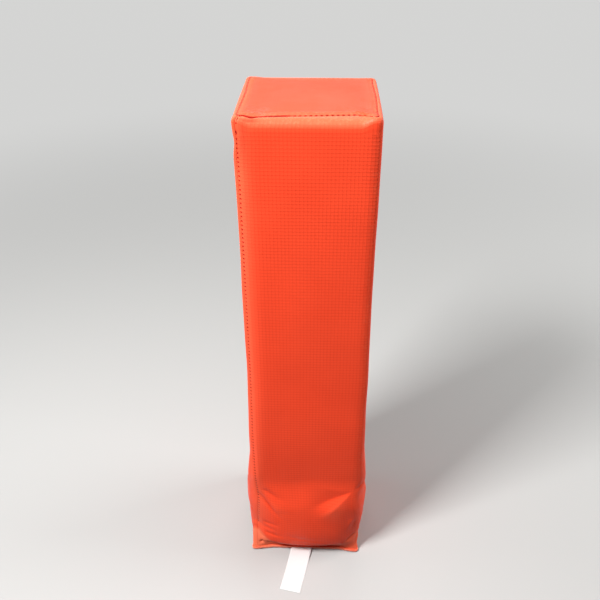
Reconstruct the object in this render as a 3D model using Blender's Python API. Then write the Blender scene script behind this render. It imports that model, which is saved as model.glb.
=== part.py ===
"""A weighted football field pylon: a sewn vinyl cover over a foam block, standing on a bag of sand.

The origin is the centre of the base on the ground, +Z is up and the front, with the sewn-in tag, faces -Y.
All sizes are in metres.
"""

import math
from typing import NamedTuple

import bmesh
import bpy
import numpy as np

# Overall sizes
HEIGHT = 0.4572
WIDTH = 0.1016
VINYL = 0.0008
FIT_GAP = 0.0003

# Shape of the cover's walls
CORNER_RADIUS = 0.0080
SEAM_CORNER_RADIUS = 0.0020
LEAST_RADIUS = 0.0006
FACE_CROWN = 0.0008

# Turned seams: the vertical one on the front face, and the one round the top, which lies well in
# from the front wall and close to the other three
VERTICAL_SEAM_FROM_CORNER = 0.0035
TOP_SEAM_INSET = 0.0090
TOP_SEAM_SIDE_INSET = 0.0030
TOP_SEAM_CORNER_INSET = 0.0032
SIDE_ROLL = 0.0040
TOP_EAR_RISE = 0.0016
TOP_EAR_SPAN = 0.0160
TOP_CROWN = 0.0012
ALLOWANCE = 0.0080

# The base, swollen by the sand and drawn in to its seam
BULGE = 0.0062
CORNER_BULGE = 0.0057
BULGE_HEIGHT = 0.0780
SHOULDER_FOOT = 0.0950
SHOULDER_TOP = 0.1430
SHOULDER_SHARE = 0.72
BULGE_TOP = 0.2450
TUCK = 0.0030
ROLL_START = math.radians(25)
WAIST = 0.0030
WAIST_HEIGHT = 0.0320
EAR_FOOT = 0.0025
EAR_RADIUS = 0.0025
EAR_SPAN = 0.0240

# The seam flange round the base
FLANGE_REACH = 0.0008
FLANGE_CORNER_REACH = 0.0040
FLANGE_LIFT = 0.0012
BASE_FOOT_INSET = 0.0040
BASE_FOOT_SLOPE = 0.0016

# Sewing thread
THREAD_RADIUS = 0.0003
BASE_STITCH_INSET = 0.0015
BASE_STITCH_CORNER_INSET = 0.0008

# The sand bag
BAG_CLOTH = 0.0006
BAG_TOP = 0.1040
BAG_SIDE_CLEARANCE = 0.0008
BAG_CORNER_RADIUS = 0.0300
BAG_FOOT_RADIUS = 0.0120
BAG_RIM = 0.0080
BAG_STITCH_INSET = 0.0040

# The foam block
FOAM_CORNER_RADIUS = 0.0070
FOAM_EDGE_CHAMFER = 0.0070
FOAM_SEAM_CLEARANCE = 0.0006
FOAM_STEP_CLEARANCE = 0.0015

# The tag sewn into the front of the base seam
TAG_WIDTH = 0.0208
TAG_LENGTH = 0.0490
TAG_THICKNESS = 0.00025
TAG_SEWN_DEPTH = 0.0040
TAG_CENTRE_X = -0.0047
TAG_SLANT = math.radians(11.5)
TAG_DROOP_LENGTH = 0.0180
TAG_FLOOR_GAP = 0.0001
TAG_HINGE_GAP = 0.0004

# Colours
VINYL_ORANGE = (1.0, 0.10, 0.035)
THREAD_ORANGE = (0.80, 0.08, 0.025)
FOAM_CREAM = (0.78, 0.74, 0.62)
CLOTH_GREY = (0.55, 0.53, 0.48)
SAND_BROWN = (0.62, 0.50, 0.34)
TAG_WHITE = (0.92, 0.92, 0.92)

# Facets: steps to each curve, and the columns of a wall and the turns of the bag as shares of their length
ARC_STEPS = 3
FOLD_STEPS = 4
TUCK_STEPS = 4
SHOULDER_STEPS = 4
SWELL_STEPS = 2
EDGE_STEPS = 3
TAG_STEPS = 10
SHARP_ANGLE = math.radians(40)
WALL_SHARES = (0.0, 0.05, 0.12, 0.23, 0.5, 0.77, 0.88, 0.95, 1.0)
BAG_SHARES = (0.2, 0.45, 0.7, 1.0)
MIDDLE_SHARE = 0.5

# Sizes that follow from the ones above
HALF = WIDTH / 2
HALF_FOLD_STEPS = FOLD_STEPS // 2
FOLD_RADIUS = VINYL + FIT_GAP / 2
FOLD_HALF = FOLD_RADIUS + FIT_GAP / 2
LAYER = VINYL + FIT_GAP
BASE_SEAM_SPACE = TAG_THICKNESS + 2 * FIT_GAP
FLANGE_TOP = FLANGE_LIFT + 2 * VINYL + BASE_SEAM_SPACE
ROLL_FOOT = FLANGE_TOP + VINYL
SEAM_DEPTH = 2 * FOLD_RADIUS + FIT_GAP + VINYL
BOBBIN_REACH = SEAM_DEPTH - FOLD_RADIUS + FIT_GAP + THREAD_RADIUS

# The four walls in turn from the front, each with its direction along and its direction outwards
WALLS = (
    ((1, 0), (0, -1)),
    ((0, 1), (1, 0)),
    ((-1, 0), (0, 1)),
    ((0, -1), (-1, 0)),
)


class Level(NamedTuple):
    """One turn round the pylon: how far out it lies past the straight wall, and how high,
    at the middle of each wall and at the corners, with the radii of its corners in plan.
    The walls other than the front have values of their own where they differ from it."""

    out: float
    z: float
    corner_out: float
    corner_z: float
    radius: float
    seam_radius: float
    crown: float = 0.0
    ear_span: float = EAR_SPAN
    side_out: float | None = None
    side_z: float | None = None


def ease(share):
    """A smooth step from 0 to 1, flat at both ends."""
    share = min(1.0, max(0.0, share))
    return share * share * (3 - 2 * share)


def mix(first, second, share):
    return first + (second - first) * share


def plain_level(out, z, radius):
    """A level with the same reach at its walls and its corners."""
    return Level(out, z, out, z, radius, radius)


def seam_x(level):
    """Where the vertical seam crosses a level of the front wall. It stays put where the base swells."""
    return -(HALF + min(0.0, level.corner_out)) + VERTICAL_SEAM_FROM_CORNER


def wall_point(wall, along, level):
    """A point on one wall of a level, along metres from the wall's middle."""
    direction, outwards = WALLS[wall]
    reach = HALF + level.corner_out
    share = ease((reach - abs(along)) / level.ear_span)
    crown = level.crown * max(0.0, 1 - (along / reach) ** 2)
    own_values = wall > 0 and level.side_out is not None
    middle_out, middle_z = (level.side_out, level.side_z) if own_values else (level.out, level.z)
    out = HALF + mix(level.corner_out, middle_out, share) + crown
    return (
        direction[0] * along + outwards[0] * out,
        direction[1] * along + outwards[1] * out,
        mix(level.corner_z, middle_z, share),
    )


def corner_points(wall, radius, level):
    """The points of the rounded corner at the end of a wall, without the two that the walls have."""
    direction, outwards = WALLS[wall]
    centre = HALF + level.corner_out - radius
    points = []
    for step in range(1, ARC_STEPS):
        turn = math.pi / 2 * step / ARC_STEPS
        out = centre + radius * math.cos(turn)
        along = centre + radius * math.sin(turn)
        points.append(
            (
                direction[0] * along + outwards[0] * out,
                direction[1] * along + outwards[1] * out,
                level.corner_z,
            )
        )
    return points


def wall_stations(start, end):
    """Where a wall has its columns, close together near its ends, where the ears curve."""
    return [mix(start, end, share) for share in WALL_SHARES]


def open_ring(level, seam_half):
    """A level of the side panel, cut open at the vertical seam with half the seam's width left each side.
    It runs from the seam by the right, round the back and on to the seam again."""
    reach = HALF + level.corner_out
    corner = level.seam_radius - reach
    seam = max(seam_x(level), corner + LEAST_RADIUS + seam_half)
    points = []
    for wall in range(4):
        radius = level.seam_radius if wall == 3 else level.radius
        start = seam + seam_half if wall == 0 else level.radius - reach
        for along in wall_stations(start, reach - radius):
            points.append(wall_point(wall, along, level))
        points += corner_points(wall, radius, level)
    points.append(wall_point(0, corner, level))
    points.append(wall_point(0, seam - seam_half, level))
    return points


def ring(level):
    """All the points of a closed level, in the same columns as the side panel's."""
    return open_ring(level, 0.0)[:-1]


def seam_radii(out):
    """The corner radii of a level drawn in or pushed out by that much."""
    return max(LEAST_RADIUS, CORNER_RADIUS + out), max(LEAST_RADIUS, SEAM_CORNER_RADIUS + out)


def fading(z):
    """How much of the swelling is left above its widest part: most of it eases away at the shoulder,
    round the sand bag's top edge, and the rest more slowly above that."""
    shoulder = 1 - ease((z - SHOULDER_FOOT) / (SHOULDER_TOP - SHOULDER_FOOT))
    slow = 1 - ease((z - SHOULDER_TOP) / (BULGE_TOP - SHOULDER_TOP))
    return mix(slow, shoulder, SHOULDER_SHARE)


def corner_out(z):
    """How far the corner lies out at a height: drawn in to the waist, then out to the sand's widest part."""
    if z < WAIST_HEIGHT:
        return mix(EAR_FOOT, WAIST, ease((z - FLANGE_TOP) / (WAIST_HEIGHT - FLANGE_TOP)))
    if z < BULGE_HEIGHT:
        turn = math.pi / 2 * (z - WAIST_HEIGHT) / (BULGE_HEIGHT - WAIST_HEIGHT)
        return mix(WAIST, CORNER_BULGE, math.sin(turn))
    return CORNER_BULGE * fading(z)


def wall_out(z):
    """How far the middle of a wall lies out at a height: an ellipse that rolls under to the base seam."""
    if z > BULGE_HEIGHT:
        return BULGE * fading(z)
    lean = math.cos(ROLL_START) * (BULGE_HEIGHT - z) / (BULGE_HEIGHT - ROLL_FOOT)
    start = math.sin(ROLL_START)
    return mix(-TUCK, BULGE, (math.sqrt(1 - lean**2) - start) / (1 - start))


def roll_height(share):
    """The height of a share of the turn from the base seam, at 0, to the widest part, at 1."""
    turn = mix(ROLL_START, math.pi / 2, share)
    return BULGE_HEIGHT - (BULGE_HEIGHT - ROLL_FOOT) * math.cos(turn) / math.cos(ROLL_START)


def base_levels():
    """The side panel from its flange edge up to the height where the walls are straight."""
    flange = Level(FLANGE_REACH, FLANGE_TOP, FLANGE_CORNER_REACH, FLANGE_TOP, EAR_RADIUS, SEAM_CORNER_RADIUS)
    crease = Level(-TUCK, FLANGE_TOP, EAR_FOOT, FLANGE_TOP, EAR_RADIUS, SEAM_CORNER_RADIUS)
    levels = [flange, crease]
    for step in range(TUCK_STEPS + 1):
        z = roll_height(step / TUCK_STEPS)
        roundness = ease((z - FLANGE_TOP) / (BULGE_HEIGHT - FLANGE_TOP))
        radius, sharp = seam_radii(corner_out(z))
        radius = mix(EAR_RADIUS, radius, roundness)
        sharp = mix(SEAM_CORNER_RADIUS, sharp, roundness)
        levels.append(Level(wall_out(z), z, corner_out(z), z, radius, sharp))
    heights = [mix(SHOULDER_FOOT, SHOULDER_TOP, step / SHOULDER_STEPS) for step in range(SHOULDER_STEPS + 1)]
    heights += [mix(SHOULDER_TOP, BULGE_TOP, step / SWELL_STEPS) for step in range(1, SWELL_STEPS + 1)]
    for z in heights:
        crown = FACE_CROWN * ease((z - BULGE_HEIGHT) / (BULGE_TOP - BULGE_HEIGHT))
        levels.append(Level(wall_out(z), z, corner_out(z), z, *seam_radii(corner_out(z)), crown))
    return levels


def top_levels():
    """The side panel from the start of its top edge to the end of its allowance under the top panel."""
    levels = [Level(0.0, (BULGE_TOP + HEIGHT) / 2, 0.0, (BULGE_TOP + HEIGHT) / 2, *seam_radii(0.0), FACE_CROWN)]
    edge, side_edge = TOP_SEAM_INSET - FOLD_HALF, TOP_SEAM_SIDE_INSET - FOLD_HALF
    corner_edge = TOP_SEAM_CORNER_INSET - FOLD_HALF
    for step in range(EDGE_STEPS + 1):
        turn = math.pi / 2 * step / EDGE_STEPS
        inward, below = 1 - math.cos(turn), 1 - math.sin(turn)
        z, side_z = HEIGHT - edge * below, HEIGHT - SIDE_ROLL * below
        corner = -corner_edge * inward
        ear_z = side_z + TOP_EAR_RISE * (1 - below)
        radii = seam_radii(corner)
        crown = FACE_CROWN * below
        side_out = -side_edge * inward
        levels.append(Level(-edge * inward, z, corner, ear_z, *radii, crown, TOP_EAR_SPAN, side_out, side_z))
    for across, depth in following_edge():
        levels.append(top_seam_level(across, depth))
    return levels


def top_seam_level(across, depth, ear_rise=TOP_EAR_RISE):
    """A level of the top seam: across is measured inwards from the seam's ditch, depth down from the top."""
    corner = -(TOP_SEAM_CORNER_INSET + across)
    z = HEIGHT - depth
    out, side_out = -(TOP_SEAM_INSET + across), -(TOP_SEAM_SIDE_INSET + across)
    return Level(out, z, corner, z + ear_rise, *seam_radii(corner), 0.0, TOP_EAR_SPAN, side_out, z)


def leading_edge():
    """The edge that folds back under its own panel in a turned seam, as (across, depth) from the ditch."""
    points = []
    for step in range(1, FOLD_STEPS + 1):
        turn = math.pi * step / FOLD_STEPS
        points.append((FOLD_HALF - FOLD_RADIUS * math.sin(turn), FOLD_RADIUS * (1 - math.cos(turn))))
    points.append((FOLD_HALF + ALLOWANCE, 2 * FOLD_RADIUS))
    return points


def following_edge():
    """The edge that dips at the ditch and passes round and under the leading edge, with a gap to it."""
    points = []
    around = FOLD_RADIUS + FIT_GAP
    turns = [math.pi / 2 * step / HALF_FOLD_STEPS for step in range(1, HALF_FOLD_STEPS + 1)]
    for turn in turns:
        points.append((-FOLD_HALF + FOLD_RADIUS * math.sin(turn), FOLD_RADIUS * (1 - math.cos(turn))))
    for turn in turns:
        points.append((FOLD_HALF - around * math.cos(turn), FOLD_RADIUS + around * math.sin(turn)))
    points.append((FOLD_HALF + ALLOWANCE, 2 * FOLD_RADIUS + FIT_GAP))
    return points


def new_object(name, mesh, material):
    mesh.materials.append(material)
    mesh.shade_smooth()
    mesh.set_sharp_from_angle(angle=SHARP_ANGLE)
    item = bpy.data.objects.new(name, mesh)
    bpy.context.scene.collection.objects.link(item)
    return item


def closed_loft(name, rings, material):
    """A solid through closed rings of points, capped at both ends."""
    shape = bmesh.new()
    rows = [[shape.verts.new(point) for point in points] for points in rings]
    count = len(rows[0])
    for low, high in zip(rows, rows[1:]):
        for i in range(count):
            j = (i + 1) % count
            shape.faces.new((low[i], low[j], high[j], high[i]))
    shape.faces.new(rows[0][::-1])
    shape.faces.new(rows[-1])
    mesh = bpy.data.meshes.new(name)
    shape.to_mesh(mesh)
    shape.free()
    return new_object(name, mesh, material)


def give_thickness(item, thickness):
    """Turns a sheet into a solid, its faces being the side that the thickness lies behind."""
    solidify = item.modifiers.new("thickness", "SOLIDIFY")
    solidify.thickness = thickness
    solidify.offset = -1
    solidify.use_even_offset = True
    solidify.use_rim = True
    return item


def disc_sheet(name, rings, thickness, material):
    """A sheet from a middle point out through closed rings, its first face side up and its thickness below."""
    shape = bmesh.new()
    rows = [[shape.verts.new(point) for point in points] for points in rings]
    count = len(rows[0])
    middle = shape.verts.new(np.mean(rings[0], axis=0))
    for i in range(count):
        j = (i + 1) % count
        shape.faces.new((middle, rows[0][i], rows[0][j]))
        for inner, outer in zip(rows, rows[1:]):
            shape.faces.new((inner[i], outer[i], outer[j], inner[j]))
    mesh = bpy.data.meshes.new(name)
    shape.to_mesh(mesh)
    shape.free()
    return give_thickness(new_object(name, mesh, material), thickness)


def thread(name, points, material, closed=True):
    """Sewing thread along a line of points."""
    curve = bpy.data.curves.new(name, "CURVE")
    curve.dimensions = "3D"
    curve.bevel_depth = THREAD_RADIUS
    curve.bevel_resolution = 1
    curve.use_fill_caps = not closed
    spline = curve.splines.new("POLY")
    spline.points.add(len(points) - 1)
    for place, point in zip(spline.points, points):
        place.co = (*point, 1.0)
    spline.use_cyclic_u = closed
    curve.materials.append(material)
    item = bpy.data.objects.new(name, curve)
    bpy.context.scene.collection.objects.link(item)
    return item


def seam_frame(front, level_index, grid, edge):
    """The point, the direction across the vertical seam and the inward direction at one level of an edge."""
    rows = [row[edge] for row in grid]
    low = rows[max(0, level_index - 1)]
    high = rows[min(len(rows) - 1, level_index + 1)]
    beside = grid[level_index][edge + 1] if front else grid[level_index][edge - 1]
    across = beside - rows[level_index] if front else rows[level_index] - beside
    across = across / np.linalg.norm(across)
    inward = np.cross(high - low, across)
    return rows[level_index], across, inward / np.linalg.norm(inward)


def side_panel(material):
    """The sheet that wraps the four walls. Its two upright edges turn in at the vertical seam,
    its top edge turns in under the top panel, and its foot lies flat on the base flange."""
    base, top = base_levels(), top_levels()
    levels = base + top
    first_fold, last_fold = 3, len(base) + EDGE_STEPS + 1
    first_strip = 2 + TUCK_STEPS - 1
    last_strip = len(base) + 1
    grid = []
    for index, level in enumerate(levels):
        folded = first_fold <= index <= last_fold
        half = FOLD_HALF if folded else FIT_GAP / 2
        grid.append([np.array(point) for point in open_ring(level, half)])

    shape = bmesh.new()
    rows = []
    for index, row in enumerate(grid):
        lead, follow = {}, {}
        if first_fold <= index <= last_fold:
            whole = first_strip <= index <= last_strip
            start, across, inward = seam_frame(True, index, grid, 0)
            ditch = start - across * FOLD_HALF
            count = len(leading_edge()) if whole else HALF_FOLD_STEPS
            for place, (side, depth) in enumerate(leading_edge()[:count]):
                lead[place] = shape.verts.new(ditch + across * side + inward * depth)
            if not whole:
                start, across, inward = seam_frame(False, index, grid, -1)
                ditch = start + across * FOLD_HALF
            for place, (side, depth) in enumerate(following_edge()[:count]):
                follow[place] = shape.verts.new(ditch + across * side + inward * depth)
        rows.append((lead, [shape.verts.new(point) for point in row], follow))

    def face_between(low, high, left, right):
        shape.faces.new((low[left], low[right], high[right], high[left]))

    for (low_lead, low, low_follow), (high_lead, high, high_follow) in zip(rows, rows[1:]):
        for i in range(len(low) - 1):
            face_between(low, high, i, i + 1)
        for low_edge, high_edge, first, flipped in (
            (low_lead, high_lead, 0, True),
            (low_follow, high_follow, -1, False),
        ):
            shared = min(len(low_edge), len(high_edge))
            low_run = [low[first]] + [low_edge[i] for i in range(shared)]
            high_run = [high[first]] + [high_edge[i] for i in range(shared)]
            for i in range(shared):
                if flipped:
                    face_between(low_run, high_run, i + 1, i)
                else:
                    face_between(low_run, high_run, i, i + 1)

    mesh = bpy.data.meshes.new("side_panel")
    shape.to_mesh(mesh)
    shape.free()
    give_thickness(new_object("side_panel", mesh, material), VINYL)
    return levels, grid, (first_strip, last_strip, first_fold, last_fold)


def top_panel(material):
    """The square top, its edge folded back under itself all round at the top seam."""
    edge = [(FOLD_HALF, 0.0)] + leading_edge()
    rings = [ring(top_seam_level(across, depth)) for across, depth in edge]
    near_edge = TOP_SEAM_INSET + TOP_EAR_SPAN
    crown = TOP_CROWN * near_edge / HALF
    inner = [
        plain_level(-HALF * MIDDLE_SHARE, HEIGHT + TOP_CROWN, LEAST_RADIUS),
        plain_level(-near_edge, HEIGHT + crown, LEAST_RADIUS),
    ]
    return disc_sheet("top_panel", [ring(level) for level in inner] + rings, VINYL, material)


def base_panel(material):
    """The square underside: flat on the ground, stepped up at its rim to meet the side panel's flange."""
    rim = FLANGE_LIFT
    levels = [
        plain_level(-HALF * MIDDLE_SHARE, 0.0, CORNER_RADIUS),
        plain_level(-BASE_FOOT_INSET, 0.0, CORNER_RADIUS),
        plain_level(-BASE_FOOT_INSET + BASE_FOOT_SLOPE, rim, CORNER_RADIUS),
        Level(FLANGE_REACH, rim, FLANGE_CORNER_REACH, rim, EAR_RADIUS, SEAM_CORNER_RADIUS),
    ]
    rings = [ring(level) for level in levels]
    panel = disc_sheet("base_panel", rings, VINYL, material)
    panel.data.flip_normals()
    return panel


def ring_points(out, corner_out, z, corner_z, radius, sharp):
    return ring(Level(out, z, corner_out, corner_z, radius, sharp))


def seam_threads(levels, grid, spans, material):
    """The two threads of each lockstitched seam: the needle's outside and the bobbin's inside."""
    first_strip, last_strip, first_fold, last_fold = spans
    in_ditch = FOLD_RADIUS - math.sqrt((FOLD_RADIUS + FIT_GAP + THREAD_RADIUS) ** 2 - FOLD_HALF**2)
    slant = BOBBIN_REACH / math.sqrt(2)
    outside, inside = [], []
    for index in range(first_fold, last_fold + 1):
        start, across, inward = seam_frame(True, index, grid, 0)
        ditch = start - across * FOLD_HALF
        outside.append(ditch + inward * in_ditch)
        if first_strip <= index <= last_strip:
            inside.append(ditch + across * (FOLD_HALF - slant) + inward * (FOLD_RADIUS + slant))
    thread("vertical_seam_needle_thread", outside, material, closed=False)
    thread("vertical_seam_bobbin_thread", inside, material, closed=False)

    thread("top_seam_needle_thread", ring(top_seam_level(0.0, in_ditch)), material)
    under = top_seam_level(FOLD_HALF - slant, FOLD_RADIUS + slant)
    thread("top_seam_bobbin_thread", ring(under), material)

    out = FLANGE_REACH - BASE_STITCH_INSET
    corner_out = FLANGE_CORNER_REACH - BASE_STITCH_CORNER_INSET
    above = FLANGE_TOP + FIT_GAP + THREAD_RADIUS
    below = FLANGE_LIFT - FIT_GAP - THREAD_RADIUS
    for name, z in (("base_seam_needle_thread", above), ("base_seam_bobbin_thread", below)):
        points = ring_points(out, corner_out, z, z, EAR_RADIUS, SEAM_CORNER_RADIUS)
        thread(name, points, material)


def bag_levels(inset, bottom, top):
    """The sand bag's outline between two heights, drawn in by an inset: round at its foot,
    then a little inside the cover's wall."""
    clearance = VINYL + BAG_SIDE_CLEARANCE + inset
    foot = BAG_FOOT_RADIUS - inset
    corner = BAG_CORNER_RADIUS - inset
    start = bottom + foot
    levels = []
    for step in range(ARC_STEPS + 1):
        turn = math.pi / 2 * step / ARC_STEPS
        inward = foot * (1 - math.sin(turn))
        z = start - foot * math.cos(turn)
        levels.append(plain_level(wall_out(start) - clearance - inward, z, corner - inward))
    for share in BAG_SHARES:
        z = mix(start, top, share)
        levels.append(plain_level(wall_out(z) - clearance, z, corner))
    return levels


def ballast(cloth, sand, thread_material):
    """The sand bag: a tub of cloth with its rim turned in, a lid sewn to the rim, and the sand."""
    bottom = VINYL + FIT_GAP
    rim = BAG_TOP - BAG_CLOTH - FIT_GAP
    walls = bag_levels(0.0, bottom, rim)
    rim_out = walls[-1].out - BAG_RIM
    turned = plain_level(rim_out, rim, BAG_CORNER_RADIUS - BAG_RIM)
    rings = [ring(plain_level(-HALF * MIDDLE_SHARE, bottom, CORNER_RADIUS))]
    rings += [ring(level) for level in walls + [turned]]
    body = disc_sheet("sand_bag_body", rings, BAG_CLOTH, cloth)
    body.data.flip_normals()

    lid_edge = walls[-1].out - FIT_GAP
    lid_radius = BAG_CORNER_RADIUS - FIT_GAP
    lid_rings = [
        ring(plain_level(-HALF * MIDDLE_SHARE, BAG_TOP, CORNER_RADIUS)),
        ring(plain_level(lid_edge, BAG_TOP, lid_radius)),
    ]
    disc_sheet("sand_bag_lid", lid_rings, BAG_CLOTH, cloth)

    clear = BAG_CLOTH + FIT_GAP
    fill = bag_levels(clear, bottom + clear, rim - clear)
    closed_loft("sand_fill", [ring(level) for level in fill], sand)

    stitch = walls[-1].out - BAG_STITCH_INSET
    z = BAG_TOP + FIT_GAP + THREAD_RADIUS
    points = ring(plain_level(stitch, z, BAG_CORNER_RADIUS - BAG_STITCH_INSET))
    thread("sand_bag_thread", points, thread_material)


def foam_core(material):
    """The foam block, with its top edge pressed in by the seam and a channel for the vertical seam."""
    side = -LAYER
    bottom = BAG_TOP + 2 * FIT_GAP + 2 * THREAD_RADIUS
    pressed = HEIGHT - SEAM_DEPTH - FOAM_SEAM_CLEARANCE
    seam_end = FOLD_HALF + ALLOWANCE + FOAM_STEP_CLEARANCE
    radius = FOAM_CORNER_RADIUS
    levels = [
        plain_level(side, bottom, radius),
        plain_level(side, pressed - FOAM_EDGE_CHAMFER, radius),
        plain_level(side - FOAM_EDGE_CHAMFER, pressed, LEAST_RADIUS),
        top_seam_level(seam_end, HEIGHT - pressed, 0.0),
        top_seam_level(seam_end + FIT_GAP, LAYER, 0.0),
    ]
    core = closed_loft("foam_core", [ring(level) for level in levels], material)

    deep = FOLD_RADIUS + BOBBIN_REACH / math.sqrt(2) + THREAD_RADIUS + FIT_GAP
    deep = max(deep, SEAM_DEPTH + FIT_GAP)
    across = VERTICAL_SEAM_FROM_CORNER + FOLD_HALF + ALLOWANCE + FIT_GAP
    overshoot = CORNER_RADIUS
    cutter_mesh = bpy.data.meshes.new("seam_channel_cutter")
    shape = bmesh.new()
    bmesh.ops.create_cube(shape, size=1.0)
    width, depth, height = across + overshoot, deep + overshoot, HEIGHT
    bmesh.ops.scale(shape, vec=(width, depth, height), verts=shape.verts)
    middle = (-HALF + across - width / 2, -HALF + deep - depth / 2, HEIGHT / 2)
    bmesh.ops.translate(shape, vec=middle, verts=shape.verts)
    shape.to_mesh(cutter_mesh)
    shape.free()
    cutter = bpy.data.objects.new("seam_channel_cutter", cutter_mesh)
    bpy.context.scene.collection.objects.link(cutter)
    cutter.hide_render = True
    cutter.display_type = "WIRE"
    channel = core.modifiers.new("seam_channel", "BOOLEAN")
    channel.operation = "DIFFERENCE"
    channel.object = cutter


def tag_strip(name, near, far, heights, steps, material):
    """A slanted strip of tag between two distances in front of the axis, at a height given by a function."""
    shape = bmesh.new()
    rows = []
    half = TAG_WIDTH / 2 / math.cos(TAG_SLANT)
    for step in range(steps + 1):
        y = mix(near, far, step / steps)
        x = TAG_CENTRE_X + math.tan(TAG_SLANT) * (y - near)
        z = heights(y)
        rows.append([shape.verts.new((x + side * half, y, z)) for side in (-1, 1)])
    for first, second in zip(rows, rows[1:]):
        shape.faces.new((first[0], second[0], second[1], first[1]))
    mesh = bpy.data.meshes.new(name)
    shape.to_mesh(mesh)
    shape.free()
    return give_thickness(new_object(name, mesh, material), TAG_THICKNESS)


def tag(material):
    """The tag: its end sewn into the base seam, and the free length that swings at the seam's edge."""
    edge = -(HALF + FLANGE_REACH)
    top = FLANGE_TOP - VINYL - FIT_GAP
    tag_strip("tag_sewn_end", edge + TAG_SEWN_DEPTH, edge, lambda y: top, 1, material)

    hinge_y = edge - TAG_HINGE_GAP
    lowest = TAG_FLOOR_GAP + TAG_THICKNESS
    far = hinge_y - TAG_LENGTH * math.cos(TAG_SLANT)

    def lying(y):
        return mix(top, lowest, ease((hinge_y - y) / TAG_DROOP_LENGTH))

    hinge = bpy.data.objects.new("tag_hinge", None)
    bpy.context.scene.collection.objects.link(hinge)
    hinge.location = (TAG_CENTRE_X, hinge_y, top - TAG_THICKNESS / 2)
    tail = tag_strip("tag_tail", hinge_y - FIT_GAP / 2, far, lying, TAG_STEPS, material)
    tail.parent = hinge
    tail.matrix_parent_inverse.translation = -hinge.location


def surface(name, colour, roughness):
    material = bpy.data.materials.new(name)
    material.use_nodes = True
    shader = material.node_tree.nodes["Principled BSDF"]
    shader.inputs["Base Color"].default_value = (*colour, 1.0)
    shader.inputs["Roughness"].default_value = roughness
    shader.inputs["Metallic"].default_value = 0.0
    material.diffuse_color = (*colour, 1.0)
    return material


def clear_scene():
    for item in list(bpy.data.objects):
        bpy.data.objects.remove(item, do_unlink=True)


def build():
    clear_scene()
    vinyl = surface("orange_vinyl", VINYL_ORANGE, 0.35)
    thread_colour = surface("orange_thread", THREAD_ORANGE, 0.6)
    foam = surface("foam", FOAM_CREAM, 0.95)
    cloth = surface("bag_cloth", CLOTH_GREY, 0.8)
    sand = surface("sand", SAND_BROWN, 0.95)
    tag_cloth = surface("white_tag", TAG_WHITE, 0.5)

    levels, grid, spans = side_panel(vinyl)
    top_panel(vinyl)
    base_panel(vinyl)
    seam_threads(levels, grid, spans, thread_colour)
    foam_core(foam)
    ballast(cloth, sand, thread_colour)
    tag(tag_cloth)


build()
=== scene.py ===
"""The looks of a weighted football field pylon: an orange vinyl cover, sewn round a foam block
and a bag of sand, with a blank white tag in the front of its base seam.

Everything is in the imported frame's own metres: +Z is up, the front faces -Y and the ground is z = 0.
"""

from typing import NamedTuple

import bpy
import numpy as np
from mathutils import Matrix, Vector


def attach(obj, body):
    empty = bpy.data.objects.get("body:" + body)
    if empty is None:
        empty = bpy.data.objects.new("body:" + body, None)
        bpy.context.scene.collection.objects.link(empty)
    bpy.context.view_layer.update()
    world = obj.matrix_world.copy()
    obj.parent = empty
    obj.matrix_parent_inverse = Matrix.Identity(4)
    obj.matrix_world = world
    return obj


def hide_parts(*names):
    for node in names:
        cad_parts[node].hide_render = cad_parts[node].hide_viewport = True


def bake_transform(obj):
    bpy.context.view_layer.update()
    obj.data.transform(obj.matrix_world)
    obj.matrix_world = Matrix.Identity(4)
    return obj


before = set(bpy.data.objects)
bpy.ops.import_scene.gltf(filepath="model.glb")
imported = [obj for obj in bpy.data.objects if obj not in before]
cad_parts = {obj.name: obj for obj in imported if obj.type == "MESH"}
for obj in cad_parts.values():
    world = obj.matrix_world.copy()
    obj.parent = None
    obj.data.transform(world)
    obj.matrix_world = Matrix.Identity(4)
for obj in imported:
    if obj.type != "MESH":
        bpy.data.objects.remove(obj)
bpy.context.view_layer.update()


# The walls of the cover: one sheet of vinyl laminated on a woven grid of yarn, wrapped round the
# block and closed by a turned seam near the front left corner. Sand swells it at the foot, where
# it is drawn into tucks by the base seam, and its top edge turns in under the top panel.
HALF = 0.0508
HEIGHT = 0.4572
VINYL = 0.0008
CORNER_RADIUS = 0.0047
SEAM_CORNER_RADIUS = 0.0014
LEAST_RADIUS = 0.0006
FACE_CROWN = 0.0004

BULGE = 0.0062
CORNER_BULGE = 0.0057
WIDEST = 0.0780
SHOULDER_FOOT = 0.0950
SHOULDER_TOP = 0.1430
SHOULDER_SHARE = 0.72
FRONT_SHOULDER_FOOT = 0.0680
FRONT_SHOULDER_TOP = 0.1060
SWELL_TOP = 0.2450
TUCK = 0.0020
ROLL_START = np.radians(25)
WAIST = 0.0030
WAIST_HEIGHT = 0.0320
EAR_FOOT = 0.0026
EAR_RADIUS = 0.0025
EAR_SPAN = 0.0215
FLANGE_REACH = 0.0004
FLANGE_CORNER_REACH = 0.0036
FLANGE_TOP = 0.0032
FLANGE_SEAM_RADIUS = 0.0020
ROLL_FOOT = FLANGE_TOP + VINYL
WIDER = (0.0009, 0.0011)

TOP_SEAM_INSET = 0.0090
SIDE_SEAM_INSET = 0.0030
CORNER_SEAM_INSET = 0.0032
SIDE_ROLL = 0.0036
CORNER_ROLL = 0.0040
SEAM_DROP = 0.0009
TOP_EAR_SPAN = 0.0110
FOLD_WIDTH = 0.00006
FOLD_DEPTH = 0.00085
FOLD_GAP = 0.00004
FOLD_HALF = FOLD_WIDTH + FOLD_GAP / 2
ALLOWANCE = 0.0080

STITCH = 0.0036
SEAM_FROM_CORNER = 0.0024
FRONT_STITCHES, SIDE_STITCHES = 25, 26
STITCHED_FROM, STITCHED_TO = 0.0330, 0.4520
FRONT_RUN = 0.0910
FAR_FROM_SEAM = 0.02

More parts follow.
